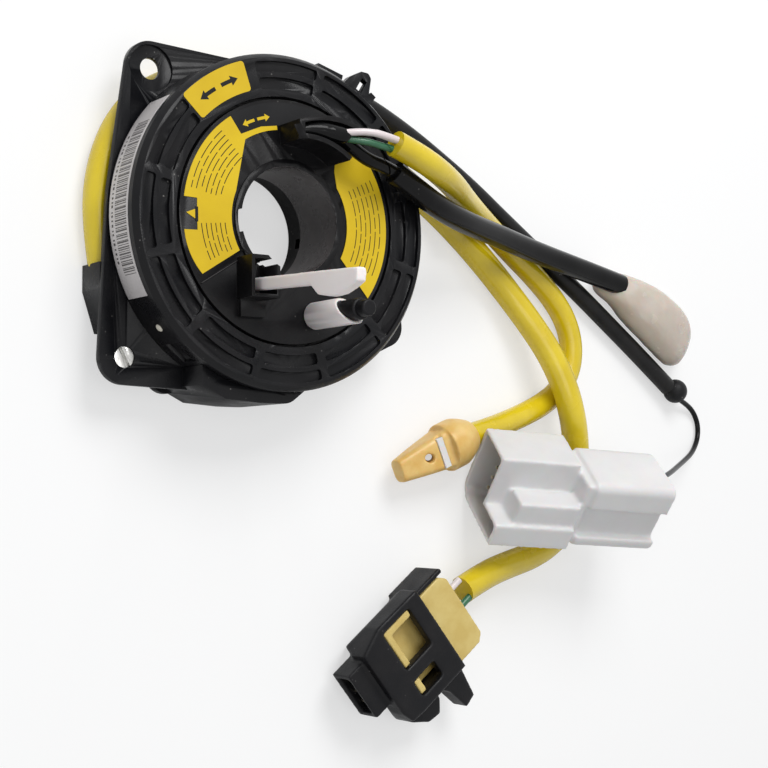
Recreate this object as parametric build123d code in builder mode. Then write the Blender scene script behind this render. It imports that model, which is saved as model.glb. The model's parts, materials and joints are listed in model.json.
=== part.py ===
"""Steering clock spring: a stator housing and cover, a rotor that turns two turns each way, its flat
ribbon, lock pin and labels, and the cables and plugs of both sides, lying on the same surface.

Millimetres. The origin is the centre of the bore on the rear resting plane, and +Z runs along the
steering axis towards the steering wheel.
"""

import math
import os

from build123d import *

os.makedirs("parts", exist_ok=True)

# ---- Clearances -------------------------------------------------------------------------------
bearing_clearance = 0.06     # radial, rotor hub in the housing's bearing ring
rotor_gap = 0.4              # axial, rotor flange under the cover's lip
rotor_edge_gap = 0.9         # radial, rotor disc inside the cover's lip
ribbon_gap = 0.3             # ribbon to the hub, the wall and what lies above and below it
seat_gap = 0.3               # axial, the rear sleeve under the housing
pin_clearance = 0.2          # lock pin in its hole, each side

# ---- Stator: housing, plate and cover ---------------------------------------------------------
case_radius = 52.0           # drum and front ring
case_height = 32.0           # rear resting plane to the front face
drum_wall = 2.0
rear_drum_step = 8.5         # the rear drum is this much smaller than the case
rear_drum_wall = 2.0
plate_front = 14.5           # height of the mounting plate's front face
plate_thickness = 2.4
plate_rim = 0.4              # mounting plate beyond the case
lip_radius = 38.5            # opening of the front ring
lip_thickness = 2.8
rim_bevel = 1.5
rim_bevel_height = 2.0
outer_pocket_radii = (46.1, 49.4)
inner_pocket_radii = (40.9, 44.4)
pocket_depth = 1.4
pocket_count = 12
pocket_first_rib = 16.0      # degrees, a rib between two pockets
outer_rib_width = 2.6
inner_rib_width = 3.0
pocket_corner = 0.9
label_pad_segment = 3        # the segment that stays plain under the ring label

upper_ear_place = (7.51, 129.68)    # beyond the case, and angle in degrees
upper_ear_radius = 8.3
upper_ear_hole = 3.3         # radius
ear_recess_radius = 7.2
ear_recess_depth = 0.9
lower_ear_place = (10.64, 222.48)
lower_ear_radius = 8.2
lower_ear_hole = 3.3
right_ear_place = (4.0, -30.0)
right_ear_radius = 6.8
right_ear_hole = 3.3
outlet_lobe_place = (-1.39, 60.4)   # small lobe of the plate that carries the rear outlet
outlet_lobe_radius = 9.0

screw_tail = 5.0             # slotted screw in the lower ear, below the plate
screw_sink = 0.4
screw_clearance = 0.15
screw_slot = 1.1
screw_slot_depth = 1.6
screw_slot_turn = 118.0      # degrees

skirt_rib_count = 8
skirt_rib_thickness = 1.6
skirt_rib_start = 22.5       # degrees
inner_skirt_radius = 29.0
inner_skirt_wall = 1.6
skirt_floor_gap = 1.0        # the ribs stop this far above the resting plane

block_left = -27.0           # terminal housing below the drum
block_reach = 3.4            # beyond the case
block_shoulders = (1.5, 2.5, 2.0)    # left one inside the case, next one outside, right one inside
block_steps = (8.0, 20.0, 2.0, 5.0)  # along the bottom, from the left and about the right side
block_inside = 12.0          # the block's outline starts this far inside the case
block_root_reach = (16.0, 4.5)       # its root on the rear drum, inside the case
block_right = 5.6
block_height = 27.0
block_wall = 1.8
block_gap = 0.1              # radial, terminal housing beside the drum
block_corner = 6.0
block_carrier = (-121.0, -76.0)       # angles between which the plate reaches out to the block
tongue_centre = (-26.2, -45.6)
tongue_radius = 6.4
tongue_height = 3.0

cable_box_left = -53.4       # box that the stator cable leaves
cable_box_bottom = -34.5
cable_box_top = -14.0
cable_box_right = -40.0
cable_box_slant = (8.0, 4.0, 8.0)   # lower left corner cut off, and lower right one

snap_loop_place = (3.0892, 58.3584)     # slot of the snap loop on the rim
snap_outline = ((-7.3, -0.5), (-4.4, 2.3), (-0.1, 4.5), (2.7, 4.3), (3.7, 2.7), (2.3, -5.9))
snap_slot = (2.2, 4.4)
snap_slot_turn = -31.5       # degrees
snap_front = 29.6
snap_thickness = 2.6
nub_angle = 53.0
nub_size = (5.0, 2.2)
nub_reach = 1.2
snap_round = 1.2
window_angles = (-128.0, -20.0, 40.0)   # blind snap windows in the drum wall
window_width = 8.0
window_bottom = 19.0
window_height = 6.0
window_depth = 1.2

# ---- Rotor ------------------------------------------------------------------------------------
bore_radius = 17.0
hub_radius = 20.8
sleeve_bore_radius = 19.4
sleeve_radius = 24.2
sleeve_rear = 0.8            # the sleeve stops this far above the resting plane
disc_thickness = 3.2
disc_rebate = 3.0            # radial, where the disc thins to its flange
flange_radius = 40.6
flange_thickness = 1.2
hub_rim_radius = 19.2
hub_rim_height = 0.7
guide_inner_radius = 23.6    # open trough that leads the wires out
guide_arc_centre = (7.8, 1.1)   # eccentric outer wall
guide_arc_radius = 30.4
guide_top = 44.0
guide_floor = 38.5
guide_wall = 1.5
guide_end = 52.0             # degrees, open end
guide_closed_end = 97.0      # degrees, closed end
foot_end = 121.0             # degrees, where the sloping foot meets the disc
foot_outer_radius = 28.0
foot_inner_radius = 20.6
foot_low = 1.5               # foot height above the face at its far end
foot_cut_margin = 1.0
bore_key_angles = (172.0, 195.0)
bore_key_depth = 1.2
sleeve_slot_angle = -6.0     # slot in the wall of the rear sleeve
sleeve_slot = (3.2, 3.4)
sleeve_slot_height = 7.0
ridge_ends = ((-30.3, -21.0), (-16.8, -12.6))   # fine ridge beside the label
ridge_width = 0.4
ridge_height = 0.35

pin_place = (-13.6, -20.4)   # lock pin
pin_width = 3.2
pin_depth = 3.8
pin_corner = 0.8
pin_seat_depth = 3.0         # below the rotor's face
pin_length = 59.0            # above the rotor's face
pin_lean = 3.0               # degrees, how far the pin leans in its clearance
paddle_start = 35.5          # above the rotor's face
paddle_reach = 3.6           # beyond the shank
paddle_shape = ((0.8, 4.0), (1.0, 9.5), (0.9, 15.0), (0.5, 19.5))   # share of the reach, and height
paddle_run_in = 6.0
paddle_nose = (0.8, 2.0)
socket_size = (7.6, 10.4)
socket_rim = 1.1
socket_rim_height = 9.0
socket_set_back = 0.6        # the rim stands back from the bore above the hub's lip
socket_depth = 1.2
socket_centre = (-13.4, -18.6)
pad_size = (8.6, 5.4)
pad_height = 1.6
pad_centre = (-13.4, -27.4)

peg_place = (9.6, -28.4)     # drive peg
peg_radius = 4.25
peg_bore_radius = 3.35
peg_long_side = 23.0         # above the rotor's face
peg_short_side = 14.0
peg_bore_start = 9.0
cap_clearance = 0.05
cap_shoulder = 25.5
cap_tip_radius = 2.5
cap_length = 29.5
cap_round = 0.7

# ---- Ribbon and its terminals -----------------------------------------------------------------
ribbon_thickness = 0.4
ribbon_pitch = 2.8
ribbon_end_room = 4.0        # radial, for the outer terminal block
slip_sheet_thickness = 0.3
slip_sheet_radii = (22.0, 49.4)
terminal_width = 8.0
terminal_height = 9.0
inner_terminal_depth = 2.2
terminal_recess = 0.2        # inner terminal below the hub's surface
terminal_overhang = 1.0      # outline beyond the curved wall that trims it

# ---- Labels -----------------------------------------------------------------------------------
label_thickness = 0.15
rotor_label_radius = 36.4
left_label_angles = (173.2, 60.0)
neutral_notch = ((-31.8, 4.2), (-31.8, 1.1), (-35.4, -0.4), (-31.7, -2.4), (-31.6, -5.3), (-36.0, -5.5))
left_label_edge = ((-34.2, -12.0), (-29.9, -18.2))
left_label_inner = (158.0, 210.5)    # degrees
label_step_angles = (98.5, 123.3)
label_step_middle = (0.1, 79.0)      # beyond the step, and angle
right_label_angles = (-36.5, 36.5)
right_label_edge = ((26.2, 24.3), (17.0, 20.8), (16.7, 17.2))
right_label_inner = (-27.3, 34.6)
label_inner_radius = 20.1
label_right_inner_radius = 21.4
label_step_radii = (28.2, 33.3)
label_end_radius = 35.2
ring_label_radii = (41.0, 50.3)
ring_label_angles = (109.0, 137.0)
ring_label_corner = 1.0
side_label_angles = (138.0, 209.0)
side_label_heights = (15.6, 27.6)

# ---- Cables and plugs -------------------------------------------------------------------------
sweep_radius = 35.5          # the wires on the rotor stay inside this radius
sweep_gap = 0.5              # radial, where a wire passes from the rotor to the still side
bend_share = 0.45            # part of the shorter run that each bend of a cable takes
stator_cable_diameter = 9.6
airbag_cable_diameter = 8.4
switch_sleeve_diameter = 7.9
earth_sleeve_diameter = 6.4
earth_wire_diameter = 2.0
airbag_wire_diameter = 2.4
switch_leads_diameter = 4.4
ball_radius = 4.6
ball_centre = (193.5, -44.5, 4.7)

outlet_size = (10.0, 8.4)    # rear outlet of the earth sleeve
outlet_place = (6.7824, 61.9963)
outlet_bottom = 5.6
outlet_turn = -15.7          # degrees

# White plug: place of its section's corner, heading, tilt and roll as it leans on the cables
white_place = (89.5, -90.3, 9.0)
white_lie = (-4.0, 11.6, 50.0)
white_length = 66.0
white_shroud_length = 31.0
white_back = 14.0            # section, across: back of the block
white_block_front = -4.0
white_rib_back = -5.5
white_rib_front = -14.5
white_front = -16.0
white_bottom = -1.0          # section, up
white_ledge = 8.0
white_foot = 15.2
white_rib_top = 16.5
white_top = 27.0
white_round = 7.0            # rounded lower corner
white_wall = 1.6
white_mouth_depth = 20.0
white_rib_setback = 7.0
white_step = 2.0             # between the walls of the mouth's two chambers
white_pin_length = 14.0
white_neck = 3.0             # groove between the shroud and the rear block
white_neck_step = 1.5
white_rear = (-14.0, 10.0, -1.5, 26.0)    # across and up, from and to
white_rear_round = 3.0
white_channel = (12.0, 3.0)  # height and depth of the channel along the rear block
white_channel_rise = 5.0     # above the rear block's bottom
pin_radius = 0.6             # contact pins of both plugs
pin_pitch = 4.5

# Airbag plug: place of its nose, heading and tilt
squib_place = (58.0, -76.0, 8.2)
squib_lie = (23.0, 1.5, 0.0)
squib_nose = (8.0, 6.0)      # width and height
squib_shoulder = (10.5, 9.0)
squib_back = (13.5, 11.5)
squib_shoulder_at = 9.0
squib_collar_at = 20.5
squib_collar_radius = 8.6
squib_collar_width = 6.0
squib_length = 33.0
squib_tail_radius = 5.4
squib_hole_radius = 1.5
squib_hole_at = 11.5
squib_band = (15.5, 2.4, 0.8)            # place along the plug, width and depth
band_sink = 1.1              # below the plug's highest section
squib_corner = 2.2
squib_collar_bulge = (2.6, 1.0)

# Black plug: place of its shell's cable side, heading; outlines are along and across
black_place = (66.9, -127.5, 0.2)
black_lie = (218.5, 0.0, 0.0)
black_shell_outline = (
    (0.0, -16.3), (19.5, -16.6), (29.0, -13.4), (29.0, 12.0), (27.5, 16.5), (22.0, 17.0), (0.0, 17.0),
)
black_shell_height = 20.0
black_shell_end = 29.0
black_undercut_height = 12.0  # below this the shell leans in at its far end and one side
black_undercut = (5.7, 6.1)   # how far it leans in, along and across
black_tongue = (36.0, -10.5, 7.5, 6.5, 16.5)     # end, across from and to, up from and to
black_tongue_root = 20.0
black_tongue_mouth = 9.0
black_leg_outline = (
    (0.0, 15.0), (0.0, 17.0), (-1.3, 19.0), (0.3, 30.5), (5.2, 31.6), (7.2, 23.0), (10.5, 19.0), (10.5, 15.0),
)
black_leg_levels = (6.0, 14.0)
black_lump_outline = (
    (10.5, 15.0), (11.4, 21.9), (14.4, 26.0), (19.5, 25.2), (24.5, 20.8), (28.0, 15.0), (28.0, 11.0),
)
black_lump_levels = (2.0, 13.0)
black_cavity = (26.0, -14.0, 13.0, 10.5, 16.0)   # depth, across from and to, up from and to
black_windows = ((6.0, 19.0, -13.6, 1.6), (9.0, 19.4, 6.6, 12.6))
insert_block = (-13.5, -12.0, 16.5, 9.5, 17.0)   # end, across from and to, up from and to
insert_gap = 0.3
black_wall = 1.8
black_arm_levels = (3.0, 17.0)   # side wall of the shell along the insert
black_pin_length = 6.5
plug_wires_across = (-3.0, 4.4)
plug_wires_level = 12.0
plug_wire_length = 8.0
plug_wire_overlap = 1.5      # into the insert
insert_corner = 2.5
insert_top = 12.5
hook_width = 2.6
hook_top = 19.0

# Covered connector: place of its mouth, heading and tilt; the cover's profile is along and out
cover_place = (160.0, -6.0, 9.9)
cover_lie = (-31.0, 0.0, 0.0)
cover_profile = ((1.0, 5.2), (9.0, 8.2), (19.0, 9.6), (30.0, 9.5), (38.0, 8.2), (42.5, 4.6))
cover_length = 44.0
cover_wall = 0.8
cover_neck = (3.0, 3.0)      # length and radius of the neck inside the sleeve
covered_plug_size = (22.0, 10.0, 8.0)
covered_plug_at = 12.0
covered_plug_corner = 1.2
covered_lead_radius = 1.6

# Routes of the cables along the surface that the part lies on, from the part to the plug
stator_cable_route = (
    (-48.7, -14.0, 4.9), (-51.0, 0.5, 4.9), (-49.8, 15.0, 4.9), (-45.2, 28.2, 4.9),
    (-36.8, 39.0, 4.9), (-24.8, 45.8, 4.9), (-11.0, 49.2, 4.9), (3.5, 49.4, 4.9),
    (18.0, 46.0, 4.9), (32.0, 40.3, 4.9), (46.5, 33.1, 4.9), (61.0, 25.0, 4.9),
    (75.5, 16.2, 4.9), (88.5, 6.6, 4.9), (99.7, -3.0, 5.0), (109.5, -13.0, 5.8),
    (117.0, -22.8, 8.2), (122.8, -33.0, 11.6), (127.3, -43.6, 14.0), (131.4, -54.0, 13.8),
    (136.0, -63.6, 10.6), (139.6, -73.4, 6.8), (140.4, -83.9, 4.9), (136.9, -93.9, 4.9),
    (129.0, -101.4, 4.9), (118.6, -106.0, 5.4), (106.6, -108.6, 6.9), (94.8, -111.6, 8.8),
    (83.8, -116.4, 10.0),
)
airbag_cable_route = (
    (29.2, 25.0, 47.4), (39.3, 21.9, 46.8), (49.5, 19.2, 43.2), (62.0, 17.2, 34.8),
    (75.5, 15.0, 23.8), (89.0, 12.3, 14.2), (101.5, 7.9, 7.9), (112.0, 2.2, 5.0),
    (122.0, -4.6, 4.5), (130.9, -12.0, 4.3), (137.4, -20.0, 4.3), (140.4, -29.2, 4.3),
    (139.2, -38.6, 4.3), (133.8, -46.2, 4.3), (125.8, -51.4, 4.3), (116.8, -55.2, 4.8),
    (107.0, -58.5, 5.9), (97.6, -61.1, 7.7), (88.0, -63.4, 9.2),
)
switch_sleeve_route = (
    (34.8, 17.9, 39.2), (44.3, 12.7, 39.0), (54.5, 9.0, 36.6), (66.0, 6.8, 32.6),
    (78.5, 5.6, 27.5), (91.5, 4.7, 22.3), (104.5, 3.1, 17.9), (118.0, 1.2, 14.8),
    (132.0, -0.9, 12.5), (146.2, -3.3, 10.9), (160.0, -6.0, 9.9),
)
earth_sleeve_route = (
    (32.0, 50.6, 8.8), (44.2, 47.6, 7.4), (56.3, 43.8, 5.4), (68.5, 38.8, 3.9),
    (81.0, 32.2, 3.3), (94.0, 24.5, 3.3), (107.0, 15.6, 3.3), (120.2, 6.8, 3.3),
    (133.2, -1.8, 3.3), (146.0, -10.4, 3.3), (158.5, -19.3, 3.3), (170.6, -28.0, 3.4),
    (181.5, -36.2, 3.7), (190.3, -43.2, 4.2),
)
earth_wire_route = (
    (195.8, -47.6, 4.4), (201.6, -49.2, 2.6), (206.8, -52.2, 1.4), (209.4, -57.0, 1.2),
    (208.6, -62.4, 1.7), (204.8, -66.3, 3.5), (199.4, -69.0, 6.6), (191.0, -71.6, 11.2),
    (181.0, -74.0, 17.3), (171.0, -76.2, 23.7), (161.5, -77.9, 29.4), (152.5, -79.0, 33.6),
)
# Wires from the rotor's trough to the cables beside it
white_wire_route = (
    (3.0, 28.4, 43.6), (11.5, 28.1, 45.6), (18.5, 27.9, 46.4), (24.0, 27.2, 47.2), (29.7, 26.0, 47.9),
)
green_wire_route = (
    (5.2, 25.9, 42.6), (12.5, 25.2, 44.7), (19.0, 24.6, 45.8), (24.3, 24.2, 46.2), (29.7, 23.2, 46.2),
)
switch_leads_route = (
    (8.5, 28.0, 40.9), (13.8, 26.0, 40.9), (18.4, 22.9, 40.9), (23.4, 20.3, 41.0),
    (29.0, 19.4, 40.4), (35.4, 17.7, 39.3),
)

# Derived levels
rear_drum_radius = case_radius - rear_drum_step
plate_radius = case_radius + plate_rim
block_bottom = -case_radius - block_reach
plate_rear = plate_front - plate_thickness
face_level = case_height
lip_rear = face_level - lip_thickness
flange_front = lip_rear - rotor_gap
flange_rear = flange_front - flange_thickness
disc_radius = lip_radius - rotor_edge_gap
bearing_radius = hub_radius + bearing_clearance
hub_rear = plate_rear - seat_gap
cavity_radius = case_radius - drum_wall
ribbon_bottom = plate_front + slip_sheet_thickness + ribbon_gap
ribbon_top = flange_rear - ribbon_gap
pocket_step = 360.0 / pocket_count


def polar(radius, degrees, height=0.0):
    """Point at a radius and an angle about the steering axis."""
    angle = math.radians(degrees)
    return Vector(radius * math.cos(angle), radius * math.sin(angle), height)


def sector(inner, outer, start, end):
    """Ring sector between two radii and two angles, drawn in the open sketch."""
    with BuildLine() as outline:
        outside = CenterArc((0, 0), outer, start, end - start)
        inside = CenterArc((0, 0), inner, start, end - start)
        Line(outside @ 0, inside @ 0)
        Line(outside @ 1, inside @ 1)
    make_face(outline.edges())


def save(builder, label):
    """Label a finished piece and write its STEP file."""
    builder.part.label = label
    export_step(builder.part, f"parts/{label}.step")


def beyond_case(place):
    """Point at a distance beyond the case and an angle."""
    distance, angle = place
    spot = polar(case_radius + distance, angle)
    return (spot.X, spot.Y)


upper_ear = beyond_case(upper_ear_place)
lower_ear = beyond_case(lower_ear_place)
right_ear = beyond_case(right_ear_place)
outlet_lobe = beyond_case(outlet_lobe_place)
slot_x, slot_y = beyond_case(snap_loop_place)

# ==== Stator ===================================================================================
# Rear housing: mounting plate with three ears, open rear drum with ribs, terminal block and the
# box that the stator cable leaves, moulded as one piece.
with BuildPart() as rear_housing:
    with BuildSketch(Plane.XY.offset(plate_rear)):
        Circle(plate_radius)
        with Locations(upper_ear):
            Circle(upper_ear_radius)
        with Locations(lower_ear):
            Circle(lower_ear_radius)
        make_hull()
        with BuildSketch(mode=Mode.PRIVATE) as right_lobe:
            Circle(plate_radius)
            with Locations(right_ear):
                Circle(right_ear_radius)
            make_hull()
        with BuildSketch(mode=Mode.PRIVATE) as top_lobe:
            Circle(plate_radius)
            with Locations(outlet_lobe):
                Circle(outlet_lobe_radius)
            make_hull()
        add(right_lobe.sketch)
        add(top_lobe.sketch)
        sector(rear_drum_radius, case_radius + block_gap + block_wall, *block_carrier)
        Circle(bearing_radius, mode=Mode.SUBTRACT)
        for place, hole in (
            (upper_ear, upper_ear_hole),
            (lower_ear, lower_ear_hole),
            (right_ear, right_ear_hole),
        ):
            with Locations(place):
                Circle(hole, mode=Mode.SUBTRACT)
    extrude(amount=plate_thickness)
    with BuildSketch(Plane.XY.offset(plate_front)):
        with Locations(upper_ear):
            Circle(ear_recess_radius)
    extrude(amount=-ear_recess_depth, mode=Mode.SUBTRACT)
    # Rear drum
    with BuildSketch():
        Circle(rear_drum_radius)
        Circle(rear_drum_radius - rear_drum_wall, mode=Mode.SUBTRACT)
    extrude(amount=plate_rear)
    # Inner skirt and ribs, short of the resting plane
    with BuildSketch(Plane.XY.offset(skirt_floor_gap)):
        Circle(inner_skirt_radius)
        Circle(inner_skirt_radius - inner_skirt_wall, mode=Mode.SUBTRACT)
    extrude(amount=plate_rear - skirt_floor_gap)
    rib_length = rear_drum_radius - rear_drum_wall / 2 - inner_skirt_radius + inner_skirt_wall / 2
    rib_centre = inner_skirt_radius - inner_skirt_wall / 2 + rib_length / 2
    with BuildSketch(Plane.XY.offset(skirt_floor_gap)):
        with PolarLocations(rib_centre, skirt_rib_count, start_angle=skirt_rib_start):
            Rectangle(rib_length, skirt_rib_thickness)
    extrude(amount=plate_rear - skirt_floor_gap)
    # Terminal block below the drum: a box open to the rear
    with BuildSketch() as block_outline:
        with BuildLine():
            Polyline(
                (block_left, block_inside - case_radius),
                (block_left, block_shoulders[0] - case_radius),
                (block_left + block_steps[0], -case_radius - block_shoulders[1]),
                (block_left + block_steps[1], block_bottom),
                (block_right - block_steps[2], block_bottom),
                (block_right + block_steps[3], block_shoulders[2] - case_radius),
                (block_right + block_steps[3], block_inside - case_radius),
                close=True,
            )
        make_face()
        fillet(block_outline.vertices().group_by(Axis.Y)[0].sort_by(Axis.X)[-1], block_corner)
        Circle(case_radius + block_gap, mode=Mode.SUBTRACT)
    extrude(amount=block_height)
    with BuildSketch():
        add(block_outline.sketch)
        offset(amount=-block_wall, kind=Kind.INTERSECTION)
    extrude(amount=block_height - block_wall, mode=Mode.SUBTRACT)
    with BuildSketch() as block_root:
        with BuildLine():
            Polyline(
                (block_left, block_root_reach[0] - case_radius),
                (block_left, block_root_reach[1] - case_radius),
                (block_right + block_steps[3], block_root_reach[1] - case_radius),
                (block_right + block_steps[3], block_root_reach[0] - case_radius),
                close=True,
            )
        make_face()
        Circle(rear_drum_radius - rear_drum_wall / 2, mode=Mode.SUBTRACT)
    extrude(amount=plate_rear)
    # Tongue beside the block
    with BuildSketch():
        with Locations(tongue_centre):
            Circle(tongue_radius)
            Circle(tongue_radius - block_wall, mode=Mode.SUBTRACT)
        Circle(rear_drum_radius - rear_drum_wall / 2, mode=Mode.SUBTRACT)
    extrude(amount=tongue_height)
    # Cable box on the left
    with BuildSketch():
        with BuildLine():
            Polyline(
                (cable_box_right, cable_box_top),
                (cable_box_left, cable_box_top),
                (cable_box_left, cable_box_top - cable_box_slant[0]),
                (cable_box_left + cable_box_slant[1], cable_box_bottom),
                (cable_box_right + cable_box_slant[2], cable_box_bottom),
                close=True,
            )
        make_face()
        Circle(rear_drum_radius - rear_drum_wall / 2, mode=Mode.SUBTRACT)
    extrude(amount=plate_rear)
    # Outlet of the earth sleeve, under the lobe of the plate
    with BuildSketch(Plane.XY.offset(outlet_bottom)):
        with Locations(Location(beyond_case(outlet_place), outlet_turn)):
            Rectangle(*outlet_size)
    extrude(amount=plate_rear - outlet_bottom)
save(rear_housing, "rear_housing")

# Front cover: drum wall and the pocketed ring, with the snap loop on its rim.
with BuildPart() as front_cover:
    with BuildSketch(Plane.XZ):
        with BuildLine():
            Polyline(
                (lip_radius, lip_rear),
                (cavity_radius, lip_rear),
                (cavity_radius, plate_front),
                (case_radius, plate_front),
                (case_radius, case_height - rim_bevel_height),
                (case_radius - rim_bevel, case_height),
                (lip_radius, case_height),
                close=True,
            )
        make_face()
    revolve(axis=Axis.Z)
    with BuildSketch(Plane.XY.offset(case_height)) as pockets:
        for radii, rib in ((outer_pocket_radii, outer_rib_width), (inner_pocket_radii, inner_rib_width)):
            half_rib = math.degrees(rib / sum(radii))
            for segment in range(pocket_count):
                if segment != label_pad_segment:
                    start = pocket_first_rib + segment * pocket_step
                    sector(*radii, start + half_rib, start + pocket_step - half_rib)
        fillet(pockets.vertices(), pocket_corner)
    extrude(amount=-pocket_depth, mode=Mode.SUBTRACT)
    with BuildSketch(Plane.XY.offset(snap_front)) as snap_loop:
        with BuildLine():
            Polyline(*((slot_x + x, slot_y + y) for x, y in snap_outline), close=True)
        make_face()
        fillet(snap_loop.vertices().sort_by(Axis.Y)[-3:], snap_round)
        with Locations(Location(polar(case_radius + nub_reach, nub_angle), nub_angle)):
            Rectangle(*nub_size)
        Circle(case_radius - drum_wall / 2, mode=Mode.SUBTRACT)
        with Locations(Location((slot_x, slot_y), snap_slot_turn)):
            Rectangle(*snap_slot, mode=Mode.SUBTRACT)
    extrude(amount=-snap_thickness)
    for angle in window_angles:
        inward = polar(case_radius - window_depth, angle)
        wall = Plane(inward, x_dir=polar(1, angle + 90), z_dir=polar(1, angle))
        with BuildSketch(wall):
            with Locations((0, window_bottom + window_height / 2)):
                Rectangle(window_width, window_height)
        extrude(amount=2 * window_depth, mode=Mode.SUBTRACT)
save(front_cover, "front_cover")

# Slotted screw in the lower ear
with BuildPart() as ear_screw:
    with BuildSketch(Plane.XY.offset(plate_rear - screw_tail)):
        with Locations(lower_ear):
            Circle(lower_ear_hole - screw_clearance)
    extrude(amount=plate_thickness + screw_tail - screw_sink)
    with BuildSketch(Plane.XY.offset(plate_front - screw_sink)):
        with Locations(Location(lower_ear, screw_slot_turn)):
            Rectangle(2 * lower_ear_hole, screw_slot)
    extrude(amount=-screw_slot_depth, mode=Mode.SUBTRACT)
save(ear_screw, "ear_screw")

# Low-friction sheet that the ribbon runs on
with BuildPart() as slip_sheet:
    with BuildSketch(Plane.XY.offset(plate_front)):
        Circle(slip_sheet_radii[1])
        Circle(slip_sheet_radii[0], mode=Mode.SUBTRACT)
    extrude(amount=slip_sheet_thickness)
save(slip_sheet, "slip_sheet")

# Flat ribbon: half-turns about two centres, each a half pitch wider than the last, up to the wall
ribbon_start = hub_radius + ribbon_gap + ribbon_thickness / 2 + ribbon_pitch / 4
ribbon_half_turns = 2 * int((cavity_radius - ribbon_end_room - ribbon_start) / ribbon_pitch) + 1
with BuildPart() as flat_ribbon:
    with BuildSketch(Plane.XY.offset(ribbon_bottom)):
        with BuildLine() as ribbon_line:
            for turn in range(ribbon_half_turns):
                side = -1 if turn % 2 == 0 else 1
                radius = ribbon_start + turn * ribbon_pitch / 2
                for face in (-1, 1):
                    CenterArc(
                        (side * ribbon_pitch / 4, 0),
                        radius + face * ribbon_thickness / 2,
                        0 if side < 0 else 180,
                        180,
                    )
            for x in (ribbon_start - ribbon_pitch / 4, -radius - ribbon_pitch / 4):
                Line((x - ribbon_thickness / 2, 0), (x + ribbon_thickness / 2, 0))
        make_face()
    extrude(amount=ribbon_top - ribbon_bottom)
save(flat_ribbon, "flat_ribbon")

# Terminal block at the ribbon's outer end
ribbon_end = ribbon_start + (ribbon_half_turns - 1) * ribbon_pitch / 2 + ribbon_pitch / 4
with BuildPart() as outer_terminal_block:
    with BuildSketch(Plane.XY.offset(ribbon_bottom)):
        with BuildLine():
            Polyline(
                (-ribbon_end - ribbon_thickness / 2 - ribbon_gap, 0),
                (-cavity_radius - terminal_overhang, 0),
                (-cavity_radius - terminal_overhang, terminal_width),
                (-ribbon_end - ribbon_thickness / 2 - ribbon_gap, terminal_width),
                close=True,
            )
        make_face()
        Circle(cavity_radius - ribbon_gap, mode=Mode.INTERSECT)
    extrude(amount=terminal_height)
save(outer_terminal_block, "outer_terminal_block")

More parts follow.
